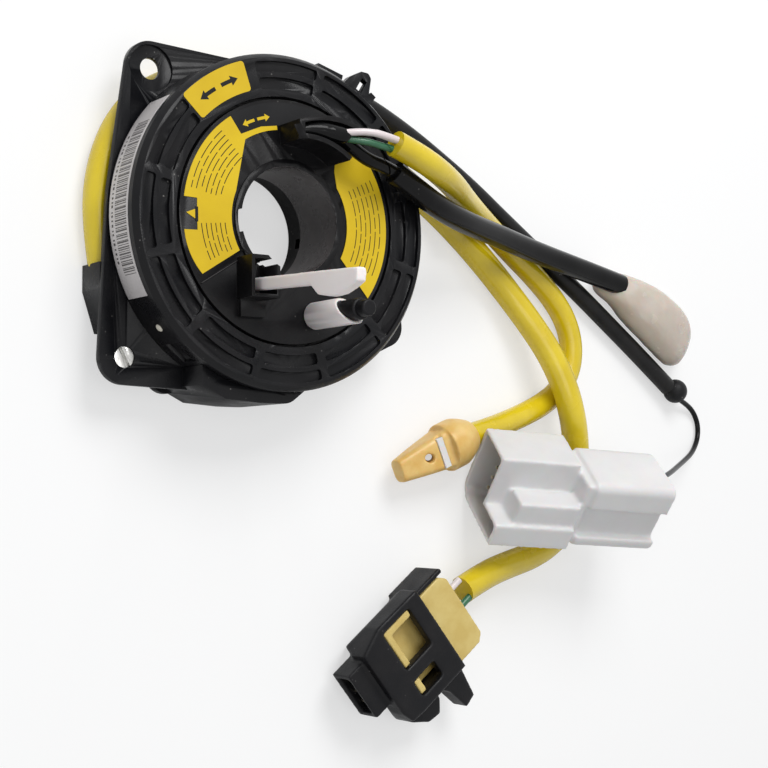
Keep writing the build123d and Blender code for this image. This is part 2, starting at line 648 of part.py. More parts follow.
# ==== Rotor ====================================================================================
with BuildPart() as rotor_face:
    with BuildSketch(Plane.XZ):
        with BuildLine():
            Polyline(
                (bore_radius, hub_rear),
                (hub_radius, hub_rear),
                (hub_radius, face_level - disc_thickness),
                (disc_radius - disc_rebate, face_level - disc_thickness),
                (disc_radius - disc_rebate, flange_rear),
                (flange_radius, flange_rear),
                (flange_radius, flange_front),
                (disc_radius, flange_front),
                (disc_radius, face_level),
                (hub_rim_radius, face_level),
                (hub_rim_radius, face_level + hub_rim_height),
                (bore_radius, face_level + hub_rim_height),
                close=True,
            )
        make_face()
    revolve(axis=Axis.Z)
    # Wire guide: an open trough with a closed end, and its sloping foot
    with BuildSketch(Plane.XY.offset(face_level)):
        sector(guide_inner_radius, sweep_radius, guide_end, guide_closed_end)
        with Locations(guide_arc_centre):
            Circle(guide_arc_radius, mode=Mode.INTERSECT)
    extrude(amount=guide_top - face_level)
    with BuildSketch(Plane.XY.offset(guide_top)):
        wall_angle = math.degrees(guide_wall / guide_inner_radius)
        trough_radius = guide_inner_radius + guide_wall
        sector(trough_radius, sweep_radius, guide_end - wall_angle, guide_closed_end - wall_angle)
        with Locations(guide_arc_centre):
            Circle(guide_arc_radius - guide_wall, mode=Mode.INTERSECT)
    extrude(amount=guide_floor - guide_top, mode=Mode.SUBTRACT)
    with BuildSketch(Plane.XY.offset(face_level)) as foot:
        sector(foot_inner_radius, foot_outer_radius, guide_closed_end, foot_end)
    foot_rise = guide_top - face_level - foot_low
    foot_run = foot_outer_radius * math.radians(foot_end - guide_closed_end)
    extrude(foot.sketch, amount=guide_top - face_level)
    slope = Plane(
        polar(foot_outer_radius, foot_end, face_level + foot_low),
        x_dir=polar(1, foot_end),
        z_dir=polar(foot_rise, foot_end + 90) + Vector(0, 0, foot_run),
    )
    with BuildSketch(slope):
        with Locations((foot_cut_margin, 0)):
            Rectangle(
                foot_outer_radius - foot_inner_radius + 4 * foot_cut_margin,
                math.hypot(foot_rise, foot_run),
                align=(Align.MAX, Align.MAX),
            )
    extrude(amount=foot_rise, mode=Mode.SUBTRACT)
    # Socket and pad of the lock pin, and the fine ridge
    with BuildSketch(Plane.XY.offset(face_level)):
        with Locations(socket_centre):
            Rectangle(socket_size[0] + 2 * socket_rim, socket_size[1] + 2 * socket_rim)
    extrude(amount=socket_rim_height)
    with BuildSketch(Plane.XY.offset(face_level)):
        with Locations(pad_centre):
            Rectangle(*pad_size)
    extrude(amount=pad_height)
    ridge_vector = Vector(*ridge_ends[1]) - Vector(*ridge_ends[0])
    with BuildSketch(Plane.XY.offset(face_level)):
        with Locations(Location((Vector(*ridge_ends[0]) + Vector(*ridge_ends[1])) / 2,
                                math.degrees(math.atan2(ridge_vector.Y, ridge_vector.X)))):
            Rectangle(ridge_vector.length, ridge_width)
    extrude(amount=ridge_height)
    with BuildSketch(Plane.XY.offset(flange_rear)):
        with Locations(pin_place):
            Rectangle(pin_width + 2 * socket_rim, pin_depth + 2 * socket_rim)
    extrude(amount=flange_thickness)
    with BuildSketch(Plane.XY.offset(face_level + socket_rim_height)):
        with Locations(socket_centre):
            Rectangle(*socket_size)
    extrude(amount=-socket_rim_height - socket_depth, mode=Mode.SUBTRACT)
    with BuildSketch(Plane.XY.offset(face_level)):
        with Locations(pin_place):
            Rectangle(pin_width + 2 * pin_clearance, pin_depth + 2 * pin_clearance)
    extrude(amount=-pin_seat_depth - pin_clearance, mode=Mode.SUBTRACT)
    # Bore, its keyway and the seat of the inner terminal
    with BuildSketch(Plane.XY.offset(hub_rear)):
        Circle(bore_radius)
        sector(bore_radius - bore_key_depth, bore_radius + bore_key_depth, *bore_key_angles)
    extrude(amount=guide_top, mode=Mode.SUBTRACT)
    with BuildSketch(Plane.XY.offset(face_level + hub_rim_height)):
        Circle(bore_radius + socket_set_back)
    extrude(amount=socket_rim_height, mode=Mode.SUBTRACT)
    with BuildSketch(Plane.XY.offset(ribbon_bottom)):
        with Locations((hub_radius - inner_terminal_depth / 2, 0)):
            Rectangle(inner_terminal_depth, terminal_width)
    extrude(amount=terminal_height, mode=Mode.SUBTRACT)
save(rotor_face, "rotor_face")

with BuildPart() as inner_terminal_block:
    with BuildSketch(Plane.XY.offset(ribbon_bottom)):
        with Locations((hub_radius - inner_terminal_depth / 2, 0)):
            Rectangle(inner_terminal_depth, terminal_width)
        Circle(hub_radius - terminal_recess, mode=Mode.INTERSECT)
    extrude(amount=terminal_height)
save(inner_terminal_block, "inner_terminal_block")

# Rear sleeve that holds the rotor in the housing
with BuildPart() as rotor_sleeve:
    with BuildSketch(Plane.XY.offset(sleeve_rear)):
        Circle(sleeve_radius)
        Circle(sleeve_bore_radius, mode=Mode.SUBTRACT)
    extrude(amount=hub_rear - sleeve_rear)
    slot_wall = Plane(polar(0, 0, sleeve_slot_height), x_dir=polar(1, sleeve_slot_angle + 90),
                      z_dir=polar(1, sleeve_slot_angle))
    with BuildSketch(slot_wall.offset(sleeve_bore_radius - seat_gap)):
        Rectangle(*sleeve_slot)
    extrude(amount=sleeve_radius - sleeve_bore_radius, mode=Mode.SUBTRACT)
save(rotor_sleeve, "rotor_sleeve")

# Lock pin: a square shank with a flat paddle at its far end
with BuildPart() as lock_pin:
    with BuildSketch(Plane.XY.offset(face_level - pin_seat_depth)) as shank:
        with Locations(pin_place):
            RectangleRounded(pin_width, pin_depth, pin_corner)
    extrude(amount=pin_seat_depth + pin_length)
    pin_front = pin_place[1] + pin_depth / 2
    pin_back = pin_place[1] - pin_depth / 2
    paddle_plane = Plane((pin_place[0] - pin_width / 2, 0, 0), x_dir=(0, 1, 0), z_dir=(1, 0, 0))
    with BuildSketch(paddle_plane) as paddle:
        with BuildLine():
            Polyline(
                (pin_front, face_level + paddle_start - paddle_run_in),
                (pin_back, face_level + paddle_start),
                *(
                    (pin_back - share * paddle_reach, face_level + paddle_start + height)
                    for share, height in paddle_shape
                ),
                (pin_back, face_level + pin_length),
                (pin_front - paddle_nose[0], face_level + pin_length),
                (pin_front, face_level + pin_length - paddle_nose[1]),
                close=True,
            )
        make_face()
    extrude(amount=pin_width)
    lean_axis = Axis((*pin_place, face_level), (1, 0, 0))
    add(lock_pin.part.rotate(lean_axis, pin_lean), mode=Mode.REPLACE)
save(lock_pin, "lock_pin")

# Drive peg: a white sleeve with an obliquely cut mouth, and its black cap
with BuildPart() as drive_peg:
    with BuildSketch(Plane.XY.offset(face_level)):
        with Locations(peg_place):
            Circle(peg_radius)
    extrude(amount=peg_long_side)
    mouth = Plane(
        (peg_place[0], peg_place[1], face_level + (peg_long_side + peg_short_side) / 2),
        x_dir=(1, 0, 0),
        z_dir=(0, peg_long_side - peg_short_side, 2 * peg_radius),
    )
    split(bisect_by=mouth, keep=Keep.BOTTOM)
    with BuildSketch(Plane.XY.offset(face_level + peg_bore_start)):
        with Locations(peg_place):
            Circle(peg_bore_radius)
    extrude(amount=peg_long_side, mode=Mode.SUBTRACT)
save(drive_peg, "drive_peg")

with BuildPart() as peg_cap:
    with BuildSketch(Plane.XY.offset(face_level + peg_bore_start)):
        with Locations(peg_place):
            Circle(peg_bore_radius - cap_clearance)
    extrude(amount=cap_shoulder - peg_bore_start)
    fillet(peg_cap.edges().group_by(Axis.Z)[-1], cap_round)
    with BuildSketch(Plane.XY.offset(face_level + cap_shoulder)):
        with Locations(peg_place):
            Circle(cap_tip_radius)
    extrude(amount=cap_length - cap_shoulder)
    fillet(peg_cap.edges().group_by(Axis.Z)[-1], cap_round)
save(peg_cap, "peg_cap")

# ==== Labels ===================================================================================
with BuildPart() as ring_label:
    with BuildSketch(Plane.XY.offset(face_level)) as ring_label_outline:
        sector(*ring_label_radii, *ring_label_angles)
        fillet(ring_label_outline.vertices(), ring_label_corner)
    extrude(amount=label_thickness)
save(ring_label, "ring_label")

with BuildPart() as side_label:
    with BuildSketch(Plane.XY.offset(side_label_heights[0])):
        sector(case_radius, case_radius + label_thickness, *side_label_angles)
    extrude(amount=side_label_heights[1] - side_label_heights[0])
save(side_label, "side_label")

with BuildPart() as rotor_label_left:
    with BuildSketch(Plane.XY.offset(face_level)):
        with BuildLine():
            label_from, label_to = left_label_angles
            inner_from, inner_to = left_label_inner
            step_from, step_to = label_step_angles
            step_inner, step_outer = label_step_radii
            Polyline(polar(rotor_label_radius, label_from), *neutral_notch)
            ThreePointArc(neutral_notch[-1], *left_label_edge)
            Line(left_label_edge[-1], polar(label_inner_radius, inner_to))
            CenterArc((0, 0), label_inner_radius, inner_from, inner_to - inner_from)
            Line(polar(label_inner_radius, inner_from), polar(step_inner, step_to))
            CenterArc((0, 0), step_inner, step_from, step_to - step_from)
            Line(polar(step_inner, step_from), polar(step_outer, step_from))
            ThreePointArc(
                polar(step_outer, step_from),
                polar(step_outer + label_step_middle[0], label_step_middle[1]),
                polar(label_end_radius, label_to),
            )
            Line(polar(label_end_radius, label_to), polar(rotor_label_radius, label_to))
            CenterArc((0, 0), rotor_label_radius, label_to, label_from - label_to)
        make_face()
    extrude(amount=label_thickness)
save(rotor_label_left, "rotor_label_left")

with BuildPart() as rotor_label_right:
    with BuildSketch(Plane.XY.offset(face_level)):
        with BuildLine():
            outer_from, outer_to = right_label_angles
            inner_from, inner_to = right_label_inner
            CenterArc((0, 0), rotor_label_radius, outer_from, outer_to - outer_from)
            Polyline(
                polar(rotor_label_radius, outer_to),
                *right_label_edge,
                polar(label_right_inner_radius, inner_to),
            )
            CenterArc((0, 0), label_right_inner_radius, inner_from, inner_to - inner_from)
            Line(polar(label_right_inner_radius, inner_from), polar(rotor_label_radius, outer_from))
        make_face()
    extrude(amount=label_thickness)
save(rotor_label_right, "rotor_label_right")

# ==== Cables and wires =========================================================================
def tube(route, diameter, label):
    """Round cable along a route: straight runs joined by bends as large as the runs allow."""
    places = [Vector(*point) for point in route]
    runs = [end - start for start, end in zip(places, places[1:])]
    radii = []
    for before, after in zip(runs, runs[1:]):
        half_turn = math.radians(before.get_angle(after)) / 2
        radii.append(bend_share * min(before.length, after.length) / math.tan(half_turn))
    with BuildPart() as cable:
        with BuildLine() as line:
            FilletPolyline(*places, radius=radii)
        with BuildSketch(Plane(origin=places[0], z_dir=runs[0])):
            Circle(diameter / 2)
        sweep(path=line.wire())
    length = line.wire().length
    share = cable.part.volume / (math.pi * diameter**2 / 4 * length)
    print(f"{label}: length {length:.1f}, bends from {min(radii):.1f} mm, volume share {share:.4f}")
    return cable


for route, diameter, label in (
    (stator_cable_route, stator_cable_diameter, "stator_cable"),
    (airbag_cable_route, airbag_cable_diameter, "airbag_cable"),
    (switch_sleeve_route, switch_sleeve_diameter, "switch_sleeve"),
    (earth_sleeve_route, earth_sleeve_diameter, "earth_sleeve"),
    (earth_wire_route, earth_wire_diameter, "earth_wire"),
):
    save(tube(route, diameter, label), label)

# Wires that cross from the rotor to the still side, parted along the rotor's sweep
for route, diameter, label in (
    (white_wire_route, airbag_wire_diameter, "white_wire"),
    (green_wire_route, airbag_wire_diameter, "green_wire"),
    (switch_leads_route, switch_leads_diameter, "switch_leads"),
):
    whole = tube(route, diameter, label).part
    with BuildPart() as rotor_wire:
        add(whole)
        with BuildSketch(Plane.XY.offset(face_level)):
            Circle(sweep_radius)
        extrude(amount=case_height, mode=Mode.INTERSECT)
    save(rotor_wire, label)
    with BuildPart() as still_wire:
        add(whole)
        with BuildSketch(Plane.XY.offset(face_level)):
            Circle(sweep_radius + sweep_gap)
        extrude(amount=case_height, mode=Mode.SUBTRACT)
    save(still_wire, f"{label}_tail")


def lie(place, heading, tilt, roll):
    """Section plane of a plug that lies on the surface: Z runs along it, X across and Y up."""
    along = Vector(1, 0, 0).rotate(Axis.Y, -tilt).rotate(Axis.Z, heading)
    across = Vector(0, 1, 0).rotate(Axis.Z, heading).rotate(Axis((0, 0, 0), along), -roll)
    return Plane(origin=place, x_dir=across, z_dir=along)


def box_sketch(across_from, across_to, up_from, up_to, corner=0.0):
    """Rectangle between two places across and two up, with round corners, in the open sketch."""
    with Locations(((across_from + across_to) / 2, (up_from + up_to) / 2)):
        if corner > 0:
            RectangleRounded(across_to - across_from, up_to - up_from, corner)
        else:
            Rectangle(across_to - across_from, up_to - up_from)


# ==== White plug ===============================================================================
white_plane = lie(white_place, *white_lie)
rear_start = white_shroud_length + white_neck
rear_from, rear_to, rear_bottom, rear_top = white_rear
with BuildPart() as white_plug:
    with BuildSketch(white_plane) as shroud:
        with BuildLine():
            Polyline(
                (white_back, white_top),
                (white_block_front, white_top),
                (white_block_front, white_foot),
                (white_rib_back, white_foot),
                (white_rib_back, white_rib_top),
                (white_rib_front, white_rib_top),
                (white_rib_front, white_ledge),
                (white_front, white_ledge),
                (white_front, white_bottom),
                (white_back, white_bottom),
                close=True,
            )
        make_face()
        lower_back = white_plane.origin + white_plane.x_dir * white_back
        fillet(shroud.vertices().sort_by_distance(lower_back)[0], white_round)
    extrude(amount=white_shroud_length)
    with BuildSketch(white_plane.offset(white_shroud_length)):
        box_sketch(rear_from + white_neck_step, rear_to - white_neck_step,
                   rear_bottom + white_neck_step, rear_top - white_neck_step)
    extrude(amount=white_neck)
    with BuildSketch(white_plane.offset(rear_start)):
        box_sketch(*white_rear, white_rear_round)
    extrude(amount=white_length - rear_start)
    # Channel along the rear block's side
    channel_height, channel_depth = white_channel
    with BuildSketch(white_plane.offset(rear_start)):
        channel_bottom = rear_bottom + white_channel_rise
        box_sketch(rear_from - channel_depth, rear_from + channel_depth,
                   channel_bottom, channel_bottom + channel_height)
    extrude(amount=white_length, mode=Mode.SUBTRACT)
    # The rib starts behind the mouth
    with BuildSketch(white_plane):
        box_sketch(white_front, white_block_front, white_ledge, white_top)
    extrude(amount=white_rib_setback, mode=Mode.SUBTRACT)
    # Mouth: a wide lower chamber and a narrow upper one
    with BuildSketch(white_plane):
        box_sketch(white_front + white_wall, white_back - white_wall - white_step,
                   white_bottom + white_wall, white_ledge - white_wall)
        box_sketch(white_block_front + white_wall, white_back - white_wall,
                   white_bottom + white_wall + white_step, white_top - white_wall)
    extrude(amount=white_mouth_depth, mode=Mode.SUBTRACT)
save(white_plug, "white_plug")

with BuildPart() as white_plug_pins:
    with BuildSketch(white_plane.offset(white_mouth_depth)):
        with Locations(((white_back + white_block_front) / 2, (white_bottom + white_top) / 2)):
            with GridLocations(pin_pitch, pin_pitch, 2, 4):
                Circle(pin_radius)
    extrude(amount=-white_pin_length)
save(white_plug_pins, "white_plug_pins")

# ==== Airbag plug ==============================================================================
squib_plane = lie(squib_place, *squib_lie)
squib_top = Plane(squib_place, x_dir=squib_plane.z_dir, z_dir=squib_plane.y_dir)
with BuildPart() as airbag_plug:
    for start, end, sizes in (
        (0, squib_shoulder_at, (squib_nose, squib_shoulder)),
        (squib_shoulder_at, squib_collar_at, (squib_shoulder, squib_back)),
    ):
        with BuildSketch(squib_plane.offset(start)):
            RectangleRounded(*sizes[0], squib_corner)
        with BuildSketch(squib_plane.offset(end)):
            RectangleRounded(*sizes[1], squib_corner)
        loft(ruled=True)
    with BuildSketch(squib_top):
        with BuildLine():
            collar_end = squib_collar_at + squib_collar_width
            Polyline(
                (squib_collar_at, 0),
                (squib_collar_at, squib_collar_radius),
                (collar_end, squib_collar_radius),
            )
            ThreePointArc(
                (collar_end, squib_collar_radius),
                (collar_end + squib_collar_bulge[0], squib_collar_radius - squib_collar_bulge[1]),
                (squib_length, squib_tail_radius),
            )
            Polyline((squib_length, squib_tail_radius), (squib_length, 0), (squib_collar_at, 0))
        make_face()
    revolve(axis=Axis(squib_place, squib_plane.z_dir))
    with BuildSketch(squib_top):
        with Locations((squib_hole_at, 0)):
            Circle(squib_hole_radius)
    extrude(amount=squib_back[1], both=True, mode=Mode.SUBTRACT)
    # Groove of the locking band
    band_at, band_width, band_depth = squib_band
    with BuildSketch(squib_plane.offset(band_at)):
        with Locations((0, squib_back[1] / 2)):
            Rectangle(2 * squib_back[0], 2 * (band_depth + band_sink))
    extrude(amount=band_width, mode=Mode.SUBTRACT)
save(airbag_plug, "airbag_plug")

with BuildPart() as locking_band:
    with BuildSketch(squib_plane.offset(band_at)):
        with Locations((0, squib_back[1] / 2 - band_sink)):
            Rectangle(squib_shoulder[0], 2 * band_depth)
    extrude(amount=band_width)
save(locking_band, "locking_band")

# ==== Black plug ===============================================================================
black_section = lie(black_place, *black_lie)
black_plan = Plane(black_place, x_dir=black_section.z_dir, z_dir=(0, 0, 1))
with BuildPart() as black_plug:
    for outline, bottom, top in (
        (black_shell_outline, 0.0, black_shell_height),
        (black_leg_outline, *black_leg_levels),
        (black_lump_outline, *black_lump_levels),
    ):
        with BuildSketch(black_plan.offset(bottom)):
            with BuildLine():
                Polyline(*outline, close=True)
            make_face()
        extrude(amount=top - bottom)
    # The lower part leans in at the far end and along one side
    for start, lean, heading in (
        ((black_shell_end, 0), black_undercut[0], 0),
        ((0, black_shell_outline[1][1]), black_undercut[1], -90),
    ):
        edge = black_plan * Location(start, heading)
        edge_plane = Plane(edge.position, x_dir=edge.x_axis.direction, z_dir=-edge.y_axis.direction)
        with BuildSketch(edge_plane):
            with BuildLine():
                Polyline((0, black_undercut_height), (-lean, 0), (lean, 0), close=True)
            make_face()
        extrude(amount=2 * black_shell_end, both=True, mode=Mode.SUBTRACT)
    tongue_end, tongue_from, tongue_to, tongue_bottom, tongue_top = black_tongue
    with BuildSketch(black_section.offset(black_tongue_root)):
        box_sketch(tongue_from, tongue_to, tongue_bottom, tongue_top)
    extrude(amount=tongue_end - black_tongue_root)
    with BuildSketch(black_section.offset(tongue_end)):
        box_sketch(tongue_from + black_wall, tongue_to - black_wall,
                   tongue_bottom + black_wall, tongue_top - black_wall)
    extrude(amount=-black_tongue_mouth, mode=Mode.SUBTRACT)
    # Thin side wall that follows the insert out of the shell
    arm_bottom, arm_top = black_arm_levels
    arm_side = insert_block[1] - insert_gap
    with BuildSketch(black_plan.offset(arm_bottom)):
        box_sketch(insert_block[0], black_wall, arm_side - black_wall, arm_side)
    extrude(amount=arm_top - arm_bottom)
    # Chamber of the insert and the two latch windows above it
    cavity_depth, *cavity_box = black_cavity
    with BuildSketch(black_section):
        box_sketch(*cavity_box)
    extrude(amount=cavity_depth, mode=Mode.SUBTRACT)
    for along_from, along_to, across_from, across_to in black_windows:
        with BuildSketch(black_plan.offset(insert_top + insert_gap)):
            box_sketch(along_from, along_to, across_from, across_to)
        extrude(amount=black_shell_height, mode=Mode.SUBTRACT)
save(black_plug, "black_plug")

with BuildPart() as black_plug_insert:
    block_end, *block_box = insert_block
    with BuildSketch(black_section.offset(block_end)):
        box_sketch(*block_box)
    extrude(amount=-block_end)
    upright = black_plug_insert.edges().filter_by(Axis.Z)
    chamfer(upright.sort_by(Axis((0, 0, 0), black_section.z_dir))[:2], insert_corner)
    cavity_from, cavity_to, cavity_bottom, cavity_top = cavity_box
    with BuildSketch(black_section):
        box_sketch(cavity_from + insert_gap, cavity_to - insert_gap, cavity_bottom + insert_gap, insert_top)
    extrude(amount=cavity_depth - insert_gap)
    # Latch hooks that stand up in the windows
    first_window, second_window = black_windows
    with BuildSketch(black_plan.offset(insert_top)):
        box_sketch(first_window[0] + insert_gap, first_window[1] - insert_gap,
                   first_window[2] + insert_gap, first_window[2] + insert_gap + hook_width)
        box_sketch(first_window[1] - insert_gap - hook_width, first_window[1] - insert_gap,
                   first_window[2] + insert_gap, first_window[3] - insert_gap)
        box_sketch(second_window[1] - insert_gap - hook_width, second_window[1] - insert_gap,
                   second_window[2] + insert_gap, second_window[3] - insert_gap)
    extrude(amount=hook_top - insert_top)
save(black_plug_insert, "black_plug_insert")

with BuildPart() as black_plug_pins:
    with BuildSketch(black_section.offset(tongue_end - black_tongue_mouth)):
        with Locations(((tongue_from + tongue_to) / 2, (tongue_bottom + tongue_top) / 2)):
            with GridLocations(pin_pitch, pin_pitch, 3, 2):
                Circle(pin_radius)
    extrude(amount=black_pin_length)
save(black_plug_pins, "black_plug_pins")

# Two wires between the stator cable's end and the insert
for across, label in ((plug_wires_across[0], "plug_white_wire"), (plug_wires_across[1], "plug_green_wire")):
    with BuildPart() as plug_wire:
        with BuildSketch(black_section.offset(block_end + plug_wire_overlap)):
            with Locations((across, plug_wires_level)):
                Circle(airbag_wire_diameter / 2)
        extrude(amount=-plug_wire_length)
    save(plug_wire, label)

# ==== Covered connector and the earth sleeve's end ball ========================================
cover_plane = lie(cover_place, *cover_lie)
cover_top = Plane(cover_place, x_dir=cover_plane.z_dir, z_dir=cover_plane.y_dir)
with BuildPart() as connector_cover:
    neck_length, neck_radius = cover_neck
    for inset in (0.0, cover_wall):
        with BuildSketch(cover_top) as profile:
            with BuildLine():
                Polyline(
                    (-neck_length, 0),
                    (-neck_length, neck_radius - inset),
                    (0, neck_radius - inset),
                    (cover_profile[0][0], cover_profile[0][1] - inset),
                )
                Spline(*((along, out - inset) for along, out in cover_profile))
                Polyline(
                    (cover_profile[-1][0], cover_profile[-1][1] - inset),
                    (cover_length - inset, 0),
                    (-neck_length, 0),
                )
            make_face()
        revolve(axis=Axis(cover_place, cover_plane.z_dir), mode=Mode.SUBTRACT if inset else Mode.ADD)
save(connector_cover, "connector_cover")

with BuildPart() as covered_plug:
    plug_length, plug_width, plug_height = covered_plug_size
    with BuildSketch(cover_plane.offset(covered_plug_at)):
        RectangleRounded(plug_width, plug_height, covered_plug_corner)
    extrude(amount=plug_length)
    with BuildSketch(cover_plane.offset(covered_plug_at)):
        Circle(covered_lead_radius)
    extrude(amount=-covered_plug_at - neck_length)
save(covered_plug, "covered_plug")

with BuildPart() as end_ball:
    with BuildSketch(Plane(ball_centre, x_dir=(1, 0, 0), z_dir=(0, 1, 0))):
        Circle(ball_radius)
        Rectangle(4 * ball_radius, 4 * ball_radius, align=(Align.MIN, Align.CENTER), mode=Mode.SUBTRACT)
    revolve(axis=Axis(ball_centre, (0, 0, 1)))
save(end_ball, "end_ball")
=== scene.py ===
# %% [markdown]
# # A steering clock spring, dressed for a portrait
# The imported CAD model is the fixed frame: every solid is already in its place, in metres, with the
# steering axis along +Z. This notebook gives each piece its finish, lays the cables as smooth
# curves and adds the small things that a casting or a moulding has and a plain solid lacks.

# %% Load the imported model
import json
import math

import bmesh
import bpy
from mathutils import Matrix, Vector

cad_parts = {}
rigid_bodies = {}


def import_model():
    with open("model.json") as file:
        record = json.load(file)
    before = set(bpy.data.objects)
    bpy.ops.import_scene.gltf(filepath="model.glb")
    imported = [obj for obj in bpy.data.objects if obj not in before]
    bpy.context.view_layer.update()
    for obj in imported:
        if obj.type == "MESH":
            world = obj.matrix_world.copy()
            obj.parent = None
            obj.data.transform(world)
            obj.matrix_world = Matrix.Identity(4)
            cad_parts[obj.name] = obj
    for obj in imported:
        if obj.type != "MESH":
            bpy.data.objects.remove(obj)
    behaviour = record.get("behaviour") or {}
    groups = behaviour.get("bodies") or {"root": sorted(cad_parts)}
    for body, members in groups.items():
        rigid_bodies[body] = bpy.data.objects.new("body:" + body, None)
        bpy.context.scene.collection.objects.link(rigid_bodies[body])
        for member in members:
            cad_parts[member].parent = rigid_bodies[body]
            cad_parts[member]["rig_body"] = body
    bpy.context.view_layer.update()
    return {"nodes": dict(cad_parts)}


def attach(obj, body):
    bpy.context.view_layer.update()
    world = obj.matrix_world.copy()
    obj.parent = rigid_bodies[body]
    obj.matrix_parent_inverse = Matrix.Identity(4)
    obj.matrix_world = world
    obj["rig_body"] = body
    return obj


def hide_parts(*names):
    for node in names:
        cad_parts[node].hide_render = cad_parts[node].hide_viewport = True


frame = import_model()
nodes = frame["nodes"]
bpy.ops.object.select_all(action="DESELECT")
scene = bpy.context.scene
MM = 0.001

# %% [markdown]
# ## Camera
# The part lies flat, and the camera looks down on it from its left side with a long lens. Its
# three directions are written out, because the camera is also rolled: the part's +Y points up.

# %% Place the camera
# Picture and focal length in pixels, sensor in millimetres, nearest distance seen in metres
IMAGE_SIDE = 768
FOCAL_PIXELS = 1600.0
SENSOR = 36.0
NEAREST_SEEN = 0.01
camera_place = Vector((-257.5, -80.49, 444.02)) * MM
camera_right = Vector((0.81506, -0.00376, 0.57936))
camera_up = Vector((-0.03354, 0.998, 0.05366))
camera_back = Vector((-0.5784, -0.06317, 0.8133))

camera_data = bpy.data.cameras.new("portrait_camera")
camera_data.sensor_width = SENSOR
camera_data.lens = FOCAL_PIXELS / IMAGE_SIDE * SENSOR
camera_data.clip_start = NEAREST_SEEN
camera = bpy.data.objects.new("portrait_camera", camera_data)
turn = Matrix((camera_right, camera_up, camera_back)).transposed().to_4x4()
camera.matrix_world = Matrix.Translation(camera_place) @ turn
scene.collection.objects.link(camera)
scene.camera = camera
print("lens", round(camera_data.lens, 1), "mm")

# %% [markdown]
# ## Light
# A pale surrounding and two square soft lamps light the part: a window high up on its +Y side, and
# a weaker lamp overhead. Wherever the surrounding is looked at, straight, in a reflection or
# through a clear piece, it is plain white.

# %% World and lamps
WORLD_LEVEL = 0.4
ROOM_TINT = (0.97, 0.985, 1.0, 1)
PLAIN_WHITE = (1, 1, 1, 1)
scene.view_settings.view_transform = "Standard"
world = bpy.data.worlds.new("pale_room")
scene.world = world
world.use_nodes = True
tree = world.node_tree
tree.nodes.clear()
room_light = tree.nodes.new("ShaderNodeBackground")
room_light.inputs["Color"].default_value = ROOM_TINT
room_light.inputs["Strength"].default_value = WORLD_LEVEL
room_seen = tree.nodes.new("ShaderNodeBackground")
room_seen.inputs["Color"].default_value = PLAIN_WHITE
room_seen.inputs["Strength"].default_value = 1.0
ray = tree.nodes.new("ShaderNodeLightPath")
looked_at = ray.outputs["Is Camera Ray"]
for kind in ("Is Glossy Ray", "Is Transmission Ray"):
    either = tree.nodes.new("ShaderNodeMath")
    either.operation = "MAXIMUM"
    tree.links.new(looked_at, either.inputs[0])
    tree.links.new(ray.outputs[kind], either.inputs[1])
    looked_at = either.outputs[0]
mix = tree.nodes.new("ShaderNodeMixShader")
out = tree.nodes.new("ShaderNodeOutputWorld")
tree.links.new(looked_at, mix.inputs[0])
tree.links.new(room_light.outputs[0], mix.inputs[1])
tree.links.new(room_seen.outputs[0], mix.inputs[2])
tree.links.new(mix.outputs[0], out.inputs["Surface"])

part_middle = Vector((60, -30, 10)) * MM


def soft_lamp(name, place, power, side):
    """Square area lamp that faces the middle of the part."""
    data = bpy.data.lights.new(name, "AREA")
    data.energy = power
    data.size = side
    lamp = bpy.data.objects.new(name, data)
    lamp.location = place
    lamp.rotation_euler = (part_middle - Vector(place)).to_track_quat("-Z", "Y").to_euler()
    scene.collection.objects.link(lamp)
    print(name, "at", tuple(place))


soft_lamp("window", (0.05, 0.62, 0.75), 6.8, 0.5)
soft_lamp("ceiling", (-0.2, -0.1, 0.95), 1.7, 0.6)

# %% [markdown]
# ## Floor
# A plain pale sheet under the part takes its shadow. Part of what the camera sees of it is an even
# glow of its own, which keeps the shadows pale. It is stage, not part of the object.

# %% Lay the floor
FLOOR_SIDE = 6.0
FLOOR_DROP = 0.0003
SHADOW_LIFT = 0.55
bpy.ops.mesh.primitive_plane_add(size=FLOOR_SIDE, location=(0, 0, -FLOOR_DROP))
floor = bpy.context.object
floor.name = "floor"
paper = bpy.data.materials.new("white_paper")
paper.use_nodes = True
paper_skin = paper.node_tree.nodes["Principled BSDF"]
paper_skin.inputs["Base Color"].default_value = (0.95, 0.95, 0.95, 1)
paper_skin.inputs["Roughness"].default_value = 0.9
paper_skin.inputs["Specular IOR Level"].default_value = 0.1
paper_tree = paper.node_tree
glow = paper_tree.nodes.new("ShaderNodeEmission")
glow.inputs["Strength"].default_value = 1.0
paper_path = paper_tree.nodes.new("ShaderNodeLightPath")
lift = paper_tree.nodes.new("ShaderNodeMath")
lift.operation = "MULTIPLY"
lift.inputs[1].default_value = SHADOW_LIFT
paper_mix = paper_tree.nodes.new("ShaderNodeMixShader")
paper_tree.links.new(paper_path.outputs["Is Camera Ray"], lift.inputs[0])
paper_tree.links.new(lift.outputs[0], paper_mix.inputs[0])
paper_tree.links.new(paper_skin.outputs[0], paper_mix.inputs[1])
paper_tree.links.new(glow.outputs[0], paper_mix.inputs[2])
paper_tree.links.new(paper_mix.outputs[0], paper_tree.nodes["Material Output"].inputs["Surface"])
floor.data.materials.append(paper)
bpy.ops.object.select_all(action="DESELECT")
print(floor.name, "laid", FLOOR_DROP / MM, "mm under the part")

# %% [markdown]
# ## Shared finishes
# Injection-moulded plastic is never one flat colour: the colour drifts a little over the part,
# the gloss changes where hands and the mould have polished it, and a fine grain breaks up the
# highlight. One node group makes all three from the object's own coordinates, so that the
# pattern stays on the piece when it turns. It can also sprinkle the piece with dust.

